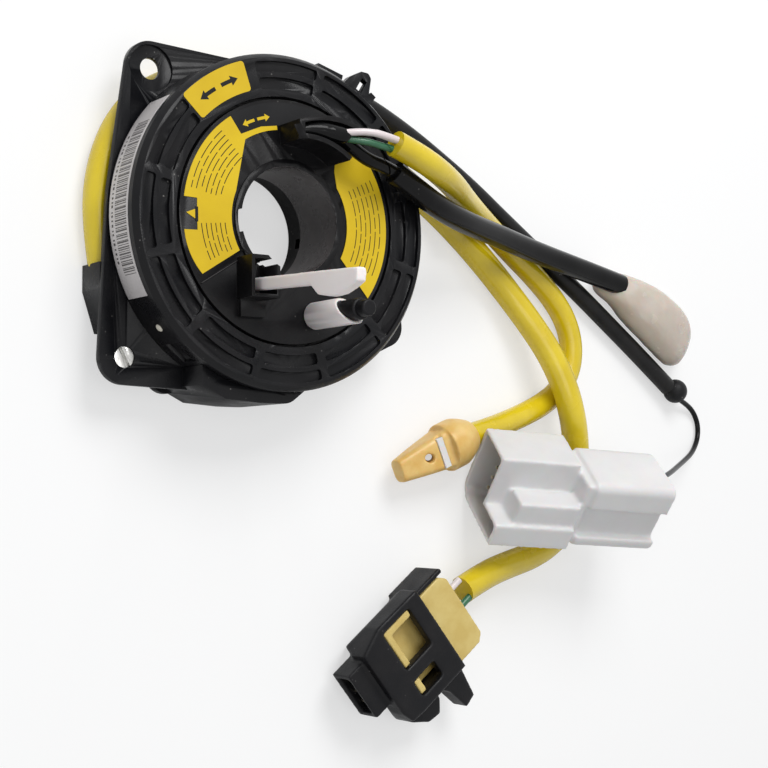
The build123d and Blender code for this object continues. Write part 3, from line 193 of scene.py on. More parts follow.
# %% Helpers for node groups
def new_group(name, inputs, outputs):
    """Empty shader group with named sockets, and its two end nodes."""
    group = bpy.data.node_groups.new(name, "ShaderNodeTree")
    for label, kind, value in inputs:
        socket = group.interface.new_socket(label, in_out="INPUT", socket_type=kind)
        if value is not None:
            socket.default_value = value
    for label, kind in outputs:
        group.interface.new_socket(label, in_out="OUTPUT", socket_type=kind)
    start = group.nodes.new("NodeGroupInput")
    end = group.nodes.new("NodeGroupOutput")
    return group, start, end


def blend_colours(tree, factor, first, second):
    """Colour mix node between two sockets; returns its result."""
    node = tree.nodes.new("ShaderNodeMix")
    node.data_type = "RGBA"
    tree.links.new(factor, node.inputs["Factor"])
    colours = [socket for socket in node.inputs if socket.type == "RGBA"]
    for source, target in zip((first, second), colours):
        if isinstance(source, tuple):
            target.default_value = (*source, 1)
        else:
            tree.links.new(source, target)
    return [socket for socket in node.outputs if socket.type == "RGBA"][0]


def noise(tree, vector, scale, detail=2.0, roughness=0.5):
    """Noise texture's value on a vector; the scale is a number or a socket."""
    node = tree.nodes.new("ShaderNodeTexNoise")
    node.inputs["Detail"].default_value = detail
    node.inputs["Roughness"].default_value = roughness
    tree.links.new(vector, node.inputs["Vector"])
    if isinstance(scale, (int, float)):
        node.inputs["Scale"].default_value = scale
    else:
        tree.links.new(scale, node.inputs["Scale"])
    return node.outputs[0]


def ramp(tree, value, low, high, to_low=0.0, to_high=1.0):
    """Map Range from low..high to to_low..to_high, clamped; ends are numbers or sockets."""
    node = tree.nodes.new("ShaderNodeMapRange")
    tree.links.new(value, node.inputs["Value"])
    for label, source in (
        ("From Min", low), ("From Max", high), ("To Min", to_low), ("To Max", to_high),
    ):
        if isinstance(source, (int, float)):
            node.inputs[label].default_value = source
        else:
            tree.links.new(source, node.inputs[label])
    return node.outputs[0]


def product(tree, first, second):
    """Product of two sockets."""
    node = tree.nodes.new("ShaderNodeMath")
    node.operation = "MULTIPLY"
    tree.links.new(first, node.inputs[0])
    tree.links.new(second, node.inputs[1])
    return node.outputs[0]


print("helpers ready")

# %% [markdown]
# ## The moulded skin
# Slow noise drifts between two colours, round specks of dust gather in patches, and a finer noise
# moves the gloss. Scales count features to the metre, and ends are the two noise values between
# which a pattern fades in.

# %% Node group: moulded skin
DRIFT_ENDS = (0.38, 0.66)
SPECK_SCALE = 420.0
SPECK_ENDS = (0.07, 0.13)
PATCH_SCALE = 90.0
PATCH_ENDS = (0.55, 0.7)
DUST_COLOUR = (0.55, 0.53, 0.5)
GLOSS_SCALE = 130.0
GLOSS_ENDS = (0.35, 0.7)
moulded, start, end = new_group(
    "moulded_skin",
    (
        ("Vector", "NodeSocketVector", None),
        ("Colour", "NodeSocketColor", (0.5, 0.5, 0.5, 1)),
        ("Drift Colour", "NodeSocketColor", (0.6, 0.6, 0.6, 1)),
        ("Drift Scale", "NodeSocketFloat", 40.0),
        ("Grain Scale", "NodeSocketFloat", 2500.0),
        ("Gloss Low", "NodeSocketFloat", 0.35),
        ("Gloss High", "NodeSocketFloat", 0.5),
        ("Dust", "NodeSocketFloat", 0.0),
    ),
    (
        ("Colour", "NodeSocketColor"),
        ("Roughness", "NodeSocketFloat"),
        ("Height", "NodeSocketFloat"),
    ),
)
where = start.outputs["Vector"]
drift = noise(moulded, where, start.outputs["Drift Scale"], 4.0, 0.6)
drift_share = ramp(moulded, drift, *DRIFT_ENDS)
coloured = blend_colours(moulded, drift_share, start.outputs["Colour"], start.outputs["Drift Colour"])
speck = moulded.nodes.new("ShaderNodeTexVoronoi")
speck.inputs["Scale"].default_value = SPECK_SCALE
moulded.links.new(where, speck.inputs["Vector"])
speck_size = ramp(moulded, speck.outputs["Distance"], *SPECK_ENDS, 1.0, 0.0)
speck_patch = ramp(moulded, noise(moulded, where, PATCH_SCALE), *PATCH_ENDS)
dusted = product(moulded, product(moulded, speck_size, speck_patch), start.outputs["Dust"])
dust_colour = blend_colours(moulded, dusted, coloured, DUST_COLOUR)
gloss_noise = noise(moulded, where, GLOSS_SCALE, 3.0)
gloss_low = start.outputs["Gloss Low"]
gloss_high = start.outputs["Gloss High"]
gloss = ramp(moulded, gloss_noise, *GLOSS_ENDS, gloss_low, gloss_high)
grain = noise(moulded, where, start.outputs["Grain Scale"])
moulded.links.new(dust_colour, end.inputs["Colour"])
moulded.links.new(gloss, end.inputs["Roughness"])
moulded.links.new(grain, end.inputs["Height"])
print("group", moulded.name, "ready")

# %% [markdown]
# ## One maker for every finish
# A finish is a shader with the moulded skin behind it. It is told by its two colours and how finely
# they drift, the low and high roughness, the grain's scale and strength, and the share of dust.

# %% Material maker
BUMP_DISTANCE = 0.0002


def finish(
    name, colour, drift, drift_scale=40.0, gloss=(0.35, 0.5), grain=(2500.0, 0.1), dust=0.0, **plain,
):
    """Material with the moulded skin; plain values go straight on the shader's own sockets."""
    material = bpy.data.materials.new(name)
    material.use_nodes = True
    tree = material.node_tree
    skin = tree.nodes["Principled BSDF"]
    where = tree.nodes.new("ShaderNodeTexCoord")
    group = tree.nodes.new("ShaderNodeGroup")
    group.node_tree = moulded
    group.inputs["Colour"].default_value = (*colour, 1)
    group.inputs["Drift Colour"].default_value = (*drift, 1)
    group.inputs["Drift Scale"].default_value = drift_scale
    group.inputs["Grain Scale"].default_value = grain[0]
    group.inputs["Gloss Low"].default_value = gloss[0]
    group.inputs["Gloss High"].default_value = gloss[1]
    group.inputs["Dust"].default_value = dust
    bump = tree.nodes.new("ShaderNodeBump")
    bump.inputs["Strength"].default_value = grain[1]
    bump.inputs["Distance"].default_value = BUMP_DISTANCE
    tree.links.new(where.outputs["Object"], group.inputs["Vector"])
    tree.links.new(group.outputs["Colour"], skin.inputs["Base Color"])
    tree.links.new(group.outputs["Roughness"], skin.inputs["Roughness"])
    tree.links.new(group.outputs["Height"], bump.inputs["Height"])
    tree.links.new(bump.outputs["Normal"], skin.inputs["Normal"])
    for label, value in plain.items():
        skin.inputs[label.replace("_", " ")].default_value = value
    return material


print("material maker ready")

# %% [markdown]
# ## The finishes of this part
# Black housings are glass-filled nylon with a satin mould texture; the cables are soft PVC, which
# is glossier; labels are coated film; the white plug is bare nylon with a soft sheen.

# %% Mix the finishes
BLACK = (0.004, 0.0043, 0.0055)
BLACK_WORN = (0.009, 0.0086, 0.0096)
SATIN = {"Specular_IOR_Level": 0.17}
black_plastic = finish(
    "black_plastic", BLACK, BLACK_WORN, 45.0, (0.26, 0.42), (1800.0, 0.22), 0.35, **SATIN,
)
rotor_plastic = finish(
    "rotor_plastic", (0.0033, 0.0033, 0.004), (0.0075, 0.007, 0.0075), 60.0, (0.28, 0.44),
    (2200.0, 0.22), 0.25, **SATIN,
)
natural_plastic = finish("natural_plastic", (0.62, 0.58, 0.48), (0.7, 0.66, 0.57), 80.0)
slip_film = finish("slip_film", (0.55, 0.55, 0.5), (0.62, 0.62, 0.58), 60.0)
ribbon_film = finish("ribbon_film", (0.5, 0.3, 0.08), (0.6, 0.38, 0.12), 60.0)
zinc_steel = finish(
    "zinc_steel", (0.62, 0.62, 0.6), (0.45, 0.44, 0.42), 250.0, (0.22, 0.42), (1500.0, 0.3), 0.0,
    Metallic=1.0,
)
yellow_label = finish(
    "yellow_label", (0.70, 0.49, 0.014), (0.61, 0.41, 0.01), 35.0, (0.34, 0.46), (3000.0, 0.04),
    0.0, Specular_IOR_Level=0.3,
)
printed_black = finish(
    "printed_black", (0.008, 0.008, 0.009), (0.013, 0.013, 0.014), 60.0, (0.34, 0.46), **SATIN,
)
# Grey print of the side label's bars; the same grey also paints a highlight along the rotor's ridge
grey_print_and_painted_highlight = finish(
    "grey_print_and_painted_highlight", (0.075, 0.07, 0.07), (0.1, 0.095, 0.095), 60.0, (0.34, 0.46), **SATIN,
)
grey_label = finish(
    "grey_label", (0.50, 0.475, 0.475), (0.58, 0.555, 0.55), 50.0, (0.35, 0.5), (3000.0, 0.05),
)
white_plastic = finish(
    "white_plastic", (0.86, 0.80, 0.79), (0.91, 0.86, 0.85), 60.0, (0.3, 0.42), (2600.0, 0.08), 0.0,
    Subsurface_Weight=0.15, Subsurface_Scale=0.001,
)
black_rubber = finish(
    "black_rubber", (0.005, 0.005, 0.006), (0.01, 0.01, 0.011), 80.0, (0.34, 0.5), (2500.0, 0.3),
    0.3, **SATIN,
)
white_pvc = finish("white_pvc", (0.68, 0.6, 0.61), (0.76, 0.7, 0.7), 70.0, (0.25, 0.38))
green_pvc = finish("green_pvc", (0.015, 0.1, 0.045), (0.03, 0.15, 0.07), 70.0, (0.25, 0.38))
black_pvc = finish(
    "black_pvc", (0.003, 0.003, 0.0034), (0.007, 0.007, 0.0075), 60.0, (0.12, 0.2),
    (1500.0, 0.08), 0.2, Specular_IOR_Level=0.14,
)
matt_black_pvc = finish(
    "matt_black_pvc", (0.007, 0.007, 0.0075), (0.014, 0.0135, 0.0135), 60.0, (0.32, 0.46),
    (1500.0, 0.3), 0.4, **SATIN,
)
yellow_pvc = finish(
    "yellow_pvc", (0.66, 0.49, 0.005), (0.76, 0.58, 0.014), 45.0, (0.18, 0.3), (1400.0, 0.12), 0.0,
    Coat_Weight=0.2, Coat_Roughness=0.15,
)
white_nylon = finish(
    "white_nylon", (0.70, 0.69, 0.69), (0.745, 0.74, 0.74), 45.0, (0.3, 0.42), (2200.0, 0.06), 0.0,
    Subsurface_Weight=0.25, Subsurface_Scale=0.0015,
)
orange_nylon = finish(
    "orange_nylon", (0.79, 0.55, 0.20), (0.70, 0.42, 0.10), 120.0, (0.3, 0.45), (2000.0, 0.15), 0.0,
    Subsurface_Weight=0.15, Subsurface_Scale=0.001,
)
khaki_nylon = finish(
    "khaki_nylon", (0.60, 0.44, 0.13), (0.68, 0.53, 0.19), 110.0, (0.35, 0.5), (2000.0, 0.2),
)
black_nylon = finish(
    "black_nylon", BLACK, BLACK_WORN, 90.0, (0.3, 0.46), (1900.0, 0.3), 0.25, **SATIN,
)
# Glossy black for the bore, its base colour lit far above the other blacks: a painted reflection of the
# pale room
bore_black_painted_reflection = finish(
    "bore_black_painted_reflection", (0.045, 0.038, 0.038), (0.075, 0.064, 0.063), 70.0, (0.24, 0.34),
    (1500.0, 0.05), 0.0, Specular_IOR_Level=0.8,
)
beige_vinyl = finish(
    "beige_vinyl", (0.60, 0.53, 0.46), (0.67, 0.60, 0.53), 80.0, (0.16, 0.3), (900.0, 0.2), 0.0,
    Transmission_Weight=0.08, IOR=1.2, Subsurface_Weight=0.4, Subsurface_Scale=0.004,
)
tinned_brass = finish(
    "tinned_brass", (0.75, 0.68, 0.5), (0.62, 0.55, 0.4), 300.0, (0.2, 0.35), (1500.0, 0.1), 0.0,
    Metallic=1.0,
)
print(len(bpy.data.materials), "materials so far")

# %% [markdown]
# ## Which piece is made of what
# Every CAD node but the five cables gets one finish here. The cables are replaced by curves that
# bring their own.

# %% Dress the nodes
node_finishes = {
    "rear_housing": black_plastic, "front_cover": black_plastic, "rotor_face": rotor_plastic,
    "outer_terminal_block": natural_plastic, "inner_terminal_block": natural_plastic,
    "slip_sheet": slip_film, "flat_ribbon": ribbon_film, "ear_screw": zinc_steel,
    "ring_label": yellow_label, "rotor_label_left": yellow_label, "rotor_label_right": yellow_label,
    "side_label": grey_label, "rotor_sleeve": rotor_plastic, "lock_pin": white_plastic,
    "drive_peg": white_plastic, "peg_cap": black_rubber, "white_wire": white_pvc,
    "white_wire_tail": white_pvc, "green_wire": green_pvc, "green_wire_tail": green_pvc,
    "switch_leads": black_pvc, "switch_leads_tail": black_pvc, "white_plug": white_nylon,
    "white_plug_pins": tinned_brass, "airbag_plug": orange_nylon, "locking_band": white_nylon,
    "black_plug": black_nylon, "black_plug_insert": khaki_nylon, "black_plug_pins": tinned_brass,
    "plug_white_wire": white_pvc, "plug_green_wire": green_pvc, "connector_cover": beige_vinyl,
    "covered_plug": white_nylon, "end_ball": black_rubber,
}


def dress(piece, material):
    """One finish over the whole piece."""
    piece.data.materials.clear()
    piece.data.materials.append(material)


for label, material in node_finishes.items():
    dress(nodes[label], material)
print(len(node_finishes), "CAD nodes have their finish")

# %% [markdown]
# ## Cables
# Each cable is one smooth NURBS curve through the same turns as its solid, with a round bevel.
# Order 3 keeps the curve close to its control points without kinks, and the end points are used
# so that the cable starts inside its exit and ends inside its plug.

# %% Cable routes
# Control points in millimetres, from the exit to the far end
stator_cable_route = (
    (-48.7, -14.0, 4.9), (-51.0, 0.5, 4.9), (-49.8, 15.0, 4.9), (-45.2, 28.2, 4.9), (-36.8, 39.0, 4.9),
    (-24.8, 45.8, 4.9), (-11.0, 49.2, 4.9), (3.5, 49.4, 4.9), (18.0, 46.0, 4.9), (32.0, 40.3, 4.9),
    (46.5, 33.1, 4.9), (61.0, 25.0, 4.9), (75.5, 16.2, 4.9), (88.5, 6.6, 4.9), (99.7, -3.0, 5.0),
    (109.5, -13.0, 5.8), (117.0, -22.8, 8.2), (122.8, -33.0, 11.6), (127.3, -43.6, 14.0),
    (131.4, -54.0, 13.8), (136.0, -63.6, 10.6), (139.6, -73.4, 6.8), (140.4, -83.9, 4.9),
    (136.9, -93.9, 4.9), (129.0, -101.4, 4.9), (118.6, -106.0, 5.4), (106.6, -108.6, 6.9),
    (94.8, -111.6, 8.8), (83.8, -116.4, 10.0),
)
airbag_cable_route = (
    (29.2, 25.0, 47.4), (39.3, 21.9, 46.8), (49.5, 19.2, 43.2), (62.0, 17.2, 34.8), (75.5, 15.0, 23.8),
    (89.0, 12.3, 14.2), (101.5, 7.9, 7.9), (112.0, 2.2, 5.0), (122.0, -4.6, 4.5), (130.9, -12.0, 4.3),
    (137.4, -20.0, 4.3), (140.4, -29.2, 4.3), (139.2, -38.6, 4.3), (133.8, -46.2, 4.3),
    (125.8, -51.4, 4.3), (116.8, -55.2, 4.8), (107.0, -58.5, 5.9), (97.6, -61.1, 7.7),
    (88.0, -63.4, 9.2),
)
switch_sleeve_route = (
    (34.8, 17.9, 39.2), (44.3, 12.7, 39.0), (54.5, 9.0, 36.6), (66.0, 6.8, 32.6), (78.5, 5.6, 27.5),
    (91.5, 4.7, 22.3), (104.5, 3.1, 17.9), (118.0, 1.2, 14.8), (132.0, -0.9, 12.5), (146.2, -3.3, 10.9),
    (160.0, -6.0, 9.9),
)
earth_sleeve_route = (
    (32.0, 50.6, 8.8), (44.2, 47.6, 7.4), (56.3, 43.8, 5.4), (68.5, 38.8, 3.9), (81.0, 32.2, 3.3),
    (94.0, 24.5, 3.3), (107.0, 15.6, 3.3), (120.2, 6.8, 3.3), (133.2, -1.8, 3.3), (146.0, -10.4, 3.3),
    (158.5, -19.3, 3.3), (170.6, -28.0, 3.4), (181.5, -36.2, 3.7), (190.3, -43.2, 4.2),
)
earth_wire_route = (
    (195.8, -47.6, 4.4), (201.6, -49.2, 2.6), (206.8, -52.2, 1.4), (209.4, -57.0, 1.2),
    (208.6, -62.4, 1.7), (204.8, -66.3, 3.5), (199.4, -69.0, 6.6), (191.0, -71.6, 11.2),
    (181.0, -74.0, 17.3), (171.0, -76.2, 23.7), (161.5, -77.9, 29.4), (152.5, -79.0, 33.6),
)
print("the longest route has", len(stator_cable_route), "points")

# %% [markdown]
# ## Round tubes on the routes
# The curves keep their CAD diameters. They stay curves, so each can be declared as a free cord.

# %% Lay the cables
CABLE_ORDER = 3
CABLE_STEPS = 14
CABLE_ROUNDNESS = 7


def lay_cable(name, node, route, diameter, material, body="stator"):
    """Round cable on one NURBS line, in place of the CAD tube of the same route."""
    curve = bpy.data.curves.new(name, "CURVE")
    curve.dimensions = "3D"
    spline = curve.splines.new("NURBS")
    spline.points.add(len(route) - 1)
    for point, place in zip(spline.points, route):
        point.co = (*(MM * value for value in place), 1)
    spline.order_u = CABLE_ORDER
    spline.use_endpoint_u = True
    spline.resolution_u = CABLE_STEPS
    curve.bevel_depth = MM * diameter / 2
    curve.bevel_resolution = CABLE_ROUNDNESS
    curve.use_fill_caps = True
    curve.materials.append(material)
    cable = bpy.data.objects.new(name, curve)
    scene.collection.objects.link(cable)
    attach(cable, body)
    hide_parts(node)
    print(name, "laid on", len(route), "points")
    return cable


# Diameters in millimetres
STATOR_CABLE = 9.6
AIRBAG_CABLE = 8.4
SWITCH_SLEEVE = 7.9
EARTH_SLEEVE = 6.4
EARTH_WIRE = 2.0
stator_cable = lay_cable("stator_lead", "stator_cable", stator_cable_route, STATOR_CABLE, yellow_pvc)
airbag_cable = lay_cable("airbag_lead", "airbag_cable", airbag_cable_route, AIRBAG_CABLE, yellow_pvc)
switch_sleeve = lay_cable("switch_lead", "switch_sleeve", switch_sleeve_route, SWITCH_SLEEVE, black_pvc)
earth_sleeve = lay_cable("earth_lead", "earth_sleeve", earth_sleeve_route, EARTH_SLEEVE, matt_black_pvc)
earth_wire = lay_cable("earth_thin_wire", "earth_wire", earth_wire_route, EARTH_WIRE, black_pvc)

# %% [markdown]
# ## Soft edges
# A mould leaves no sharp corner: every edge of the real housings is rounded by a few tenths of a
# millimetre, and it is these edges that catch the light. A copy of the solid's mesh is welded,
# its flat areas are made single faces again, and a Bevel modifier rounds what is left.

# %% Rounded copies of the mouldings
def select_only(piece):
    """Makes one object the only selected and active one."""
    bpy.ops.object.select_all(action="DESELECT")
    piece.select_set(True)
    bpy.context.view_layer.objects.active = piece


WELD_REACH = 0.000004
FLAT_ANGLE = math.radians(0.6)
SHARP_ANGLE = math.radians(34.0)
BEVEL_STEPS = 2


def welded_copy(label, node, flatten=False):
    """Copy of a CAD node with welded seams; if asked, its flat areas become single faces."""
    piece = bpy.data.objects.new(label, nodes[node].data.copy())
    scene.collection.objects.link(piece)
    select_only(piece)
    bpy.ops.object.mode_set(mode="EDIT")
    bpy.ops.mesh.select_all(action="SELECT")
    bpy.ops.mesh.remove_doubles(threshold=WELD_REACH)
    if flatten:
        bpy.ops.mesh.dissolve_limited(angle_limit=FLAT_ANGLE)
    bpy.ops.object.mode_set(mode="OBJECT")
    return piece


def rounded_copy(label, node, width):
    """Welded copy of a CAD node with soft edges, on the same body and in its place."""
    source = nodes[node]
    piece = welded_copy(label, node, flatten=True)
    soft = piece.modifiers.new("soft_edges", "BEVEL")
    soft.width = MM * width
    soft.segments = BEVEL_STEPS
    soft.limit_method = "ANGLE"
    soft.angle_limit = SHARP_ANGLE
    soft.harden_normals = True
    bpy.ops.object.modifier_apply(modifier=soft.name)
    bpy.ops.object.shade_smooth_by_angle(angle=SHARP_ANGLE)
    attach(piece, source["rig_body"])
    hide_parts(node)
    print(label, "has", len(piece.data.polygons), "faces")
    return piece


# Width of the rounding in millimetres
soft_widths = {
    "rear_housing": 0.35, "front_cover": 0.3, "rotor_face": 0.25, "drive_peg": 0.35, "ear_screw": 0.2,
    "covered_plug": 0.3,
}
mouldings = {}
for label, width in soft_widths.items():
    mouldings[label] = rounded_copy(label + "_moulding", label, width)
print(len(mouldings), "mouldings have soft edges")

# %% [markdown]
# ## Melted edges
# The plugs and the transport lock are soft nylon with generous roundings, larger than a bevel can
# follow where walls are thin. Their copies are turned into an even skin of small squares by a
# Remesh modifier, and a Smooth modifier then relaxes it, which rounds every edge by the same amount.
# Round holes are drilled before that, so their rims melt with the rest.

# %% Softened copies of the plugs
DRILL_SIDES = 24
RELAX_FACTOR = 0.5


def built(label, shape):
    """Object made of a finished shape, which is then freed."""
    mesh = bpy.data.meshes.new(label)
    shape.to_mesh(mesh)
    shape.free()
    piece = bpy.data.objects.new(label, mesh)
    scene.collection.objects.link(piece)
    return piece


def drill(piece, place, direction, radius, depth):
    """Round hole in a piece, reaching as deep to both sides of its place in millimetres."""
    shape = bmesh.new()
    bmesh.ops.create_cone(
        shape, cap_ends=True, segments=DRILL_SIDES, radius1=MM * radius, radius2=MM * radius,
        depth=MM * 2 * depth,
    )
    aim = Vector(direction).to_track_quat("Z", "Y").to_matrix().to_4x4()
    bmesh.ops.transform(shape, matrix=Matrix.Translation(Vector(place) * MM) @ aim, verts=shape.verts)
    cutter = built("drill", shape)
    hole = piece.modifiers.new("hole", "BOOLEAN")
    hole.operation = "DIFFERENCE"
    hole.object = cutter
    hole.solver = "EXACT"
    bpy.ops.object.modifier_apply(modifier="hole")
    bpy.data.objects.remove(cutter)


def softened_copy(label, node, voxel, passes, holes=()):
    """Copy of a CAD node with an even, relaxed skin, on the same body and in its place."""
    source = nodes[node]
    piece = welded_copy(label, node)
    for place, direction, radius, depth in holes:
        drill(piece, place, direction, radius, depth)
    skin = piece.modifiers.new("even_skin", "REMESH")
    skin.mode = "VOXEL"
    skin.voxel_size = MM * voxel
    skin.use_smooth_shade = True
    relaxed = piece.modifiers.new("relaxed", "SMOOTH")
    relaxed.factor = RELAX_FACTOR
    relaxed.iterations = passes
    for name in ("even_skin", "relaxed"):
        bpy.ops.object.modifier_apply(modifier=name)
    dress(piece, node_finishes[node])
    for polygon in piece.data.polygons:
        polygon.use_smooth = True
    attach(piece, source["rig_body"])
    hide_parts(node)
    print(label, "has", len(piece.data.polygons), "faces")
    return piece


# Place, direction, radius and depth of each hole. All run along the camera's line of sight, one
# right through the plug and two of them shallow
SLANT = tuple(camera_back)
airbag_plug_holes = (
    ((67.5, -71.4, 13.0), SLANT, 1.4, 40.0),
    ((60.0, -73.8, 13.0), SLANT, 0.9, 1.2),
    ((57.9, -76.4, 13.0), SLANT, 0.9, 1.2),
)
# Side of the skin's squares in millimetres, and how many times it is relaxed
for label, voxel, passes, holes in (
    ("white_plug", 0.5, 24, ()), ("airbag_plug", 0.35, 14, airbag_plug_holes),
    ("black_plug", 0.45, 12, ()), ("black_plug_insert", 0.4, 12, ()), ("lock_pin", 0.3, 9, ()),
):
    mouldings[label] = softened_copy(label + "_moulding", label, voxel, passes, holes)

# %% [markdown]
# ## A brighter bore, with a painted reflection
# The hub's bore is the only black surface that the mould polished. Faces that look at the steering axis
# get a glossier black of their own, whose base colour is also made far lighter than the other blacks: a
# painted reflection of the pale room behind the bore. The normals of those that face it squarely are
# set straight at the axis, which makes the wall one smooth curve.

# %% Polish the bore and paint its reflection
BORE_RADIUS = 17.0
BORE_MARGIN = 0.2
# Limits on a face's normal: its share along the axis, and towards the axis
LEVEL_NORMAL = 0.3
TURNED_INWARDS = 0.6
SQUARELY_INWARDS = 0.97
rotor_mesh = mouldings["rotor_face"].data
rotor_mesh.materials.append(bore_black_painted_reflection)
corner_normals = [Vector(corner.vector) for corner in rotor_mesh.corner_normals]
polished = 0
for polygon in rotor_mesh.polygons:
    centre = polygon.center
    inwards = Vector((-centre.x, -centre.y, 0.0)).normalized()
    near = math.hypot(centre.x, centre.y) < MM * (BORE_RADIUS + BORE_MARGIN)
    facing = polygon.normal.dot(inwards)
    if near and facing > TURNED_INWARDS and abs(polygon.normal.z) < LEVEL_NORMAL:
        polygon.material_index = len(rotor_mesh.materials) - 1
        polished += 1
        if facing > SQUARELY_INWARDS:
            for corner in polygon.loop_indices:
                place = rotor_mesh.vertices[rotor_mesh.loops[corner].vertex_index].co
                corner_normals[corner] = Vector((-place.x, -place.y, 0.0)).normalized()
rotor_mesh.normals_split_custom_set(corner_normals)
print(polished, "faces of the bore are polished")

# %% [markdown]
# ## Soft skins through rings
# The vinyl pouch and the taped bundle in the trough have no flat face anywhere. Each is a skin
# through a row of rings, closed at both ends and subdivided, with slow lumps where it was handled.

# %% Skins through rings
SKIN_LEVELS = 3
FOLD_SIZE = 7.0
UPWARDS = (0, 0, 1)


def lofted(label, rings, material, body, node, lump):
    """Closed soft skin through rings of equal count, in millimetres; the lump is its unevenness."""
    shape = bmesh.new()
    rows = [[shape.verts.new(Vector(place) * MM) for place in ring] for ring in rings]
    count = len(rows[0])
    for first, second in zip(rows, rows[1:]):
        for index in range(count):
            after = (index + 1) % count
            shape.faces.new((first[index], first[after], second[after], second[index]))
    shape.faces.new(rows[0])
    shape.faces.new(rows[-1])
    bmesh.ops.recalc_face_normals(shape, faces=shape.faces)
    piece = built(label, shape)
    select_only(piece)
    rounder = piece.modifiers.new("rounder", "SUBSURF")
    rounder.levels = SKIN_LEVELS
    bpy.ops.object.modifier_apply(modifier="rounder")
    folds = bpy.data.textures.new(label + "_folds", "CLOUDS")
    folds.noise_scale = MM * FOLD_SIZE
    uneven = piece.modifiers.new("uneven", "DISPLACE")
    uneven.texture = folds
    uneven.strength = MM * lump
    uneven.mid_level = 0.5
    bpy.ops.object.modifier_apply(modifier="uneven")
    for polygon in piece.data.polygons:
        polygon.use_smooth = True
    dress(piece, material)
    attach(piece, body)
    if node:
        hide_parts(node)
    print(label, "has", len(piece.data.polygons), "faces")


def oval(centre, side, rise, half_width, half_height, squareness=1.0, count=16):
    """Ring of places about a centre; a squareness under 1 fills out its corners."""
    ring = []
    for step in range(count):
        turn = 2 * math.pi * step / count
        across = math.copysign(abs(math.cos(turn)) ** squareness, math.cos(turn)) * half_width
        up = math.copysign(abs(math.sin(turn)) ** squareness, math.sin(turn)) * half_height
        ring.append(tuple(centre[axis] + side[axis] * across + rise[axis] * up for axis in range(3)))
    return ring


print("skins are divided", SKIN_LEVELS, "times")

# %% [markdown]
# ## The pouch
# A soft vinyl cover is drawn over the small connector at the end of the switch sleeve. It is
# narrow where it grips the sleeve, widest past its middle and drawn together at the far end.

# %% Fill the pouch
POUCH_MOUTH = (160.0, -6.0)
POUCH_HEADING = math.radians(-31.0)
POUCH_SQUARENESS = 0.8
pouch_along = (math.cos(POUCH_HEADING), math.sin(POUCH_HEADING))
pouch_side = (-pouch_along[1], pouch_along[0], 0.0)
# Along, across, half width, half height and level of each ring
pouch_stations = (
    (-8.0, -1.2, 3.8, 2.2, 4.6), (-4.0, -1.0, 5.4, 3.6, 5.4), (0.0, -0.8, 6.3, 5.4, 7.2),
    (4.0, -0.7, 7.1, 6.6, 8.4), (9.0, -0.4, 8.4, 7.6, 8.6), (16.0, -0.2, 9.6, 8.2, 8.8),
    (24.0, 0.0, 10.2, 8.2, 8.6), (32.0, -0.3, 10.6, 7.5, 7.9), (38.0, -1.0, 9.8, 6.3, 6.8),
    (42.0, -1.4, 7.3, 4.5, 5.4), (44.0, -1.4, 3.9, 2.3, 4.6),
)
pouch_rings = []
for along, across, half_width, half_height, level in pouch_stations:
    centre = (
        POUCH_MOUTH[0] + pouch_along[0] * along + pouch_side[0] * across,
        POUCH_MOUTH[1] + pouch_along[1] * along + pouch_side[1] * across,
        level,
    )
    pouch_rings.append(
        oval(centre, pouch_side, UPWARDS, half_width, half_height, POUCH_SQUARENESS)
    )
lofted("cover_pouch", pouch_rings, beige_vinyl, "stator", "connector_cover", lump=0.7)

# %% [markdown]
# ## The taped bundle
# The leads run round the open trough as one taped bundle, which lies on the rotor and turns with it.

# %% Lay the taped bundle
RING_CORNERS = 12
# Angle, distance from the axis, radius and level of each ring
bundle_stations = (
    (95.0, 26.6, 0.9, 41.4), (92.0, 26.8, 1.7, 41.5), (86.0, 27.3, 2.15, 41.7), (78.0, 27.9, 2.6, 42.1),
    (70.0, 28.5, 2.9, 42.7), (64.0, 29.0, 2.85, 43.1), (61.0, 29.3, 2.5, 43.2), (60.0, 29.4, 1.4, 43.2),
)
bundle_rings = []
for angle, distance, radius, level in bundle_stations:
    outward = (math.cos(math.radians(angle)), math.sin(math.radians(angle)), 0.0)
    centre = (distance * outward[0], distance * outward[1], level)
    bundle_rings.append(oval(centre, outward, UPWARDS, radius, radius, count=RING_CORNERS))
lofted("taped_bundle", bundle_rings, black_pvc, "rotor", None, lump=0.5)

# %% [markdown]
# ## Thin wires above the trough
# Two single wires leave the taped bundle, rise over the trough's edge and enter the yellow cable.
# Both ends of each are held, so they are meshes and not free cords.

# %% Lay the thin wires
THIN_WIRE = 2.2
white_wire_route = (
    (10.5, 26.6, 43.0), (14.5, 27.2, 45.2), (20.0, 27.6, 47.0), (25.0, 26.9, 47.8), (29.7, 26.0, 47.9),
)
green_wire_route = ((12.5, 25.6, 42.2), (17.0, 25.0, 44.6), (22.0, 24.6, 46.0), (29.7, 23.2, 46.2))
for name, node, route, material, slot in (
    ("pale_thin_wire", "white_wire", white_wire_route, white_pvc, "white_pvc"),
    ("green_thin_wire", "green_wire", green_wire_route, green_pvc, "green_pvc"),
):
    wire = lay_cable(name, node, route, THIN_WIRE, material, "rotor")
    select_only(wire)
    bpy.ops.object.convert(target="MESH")

# %% [markdown]
# ## Injection pip
# A small pale dome on the drum's side is what is left of the mould's gate.

# %% Raise the pip
PIP_ANGLE = math.radians(-139.2)
PIP_LEVEL = 23.2
pip_outward = (math.cos(PIP_ANGLE), math.sin(PIP_ANGLE))
pip_side = (-pip_outward[1], pip_outward[0], 0.0)
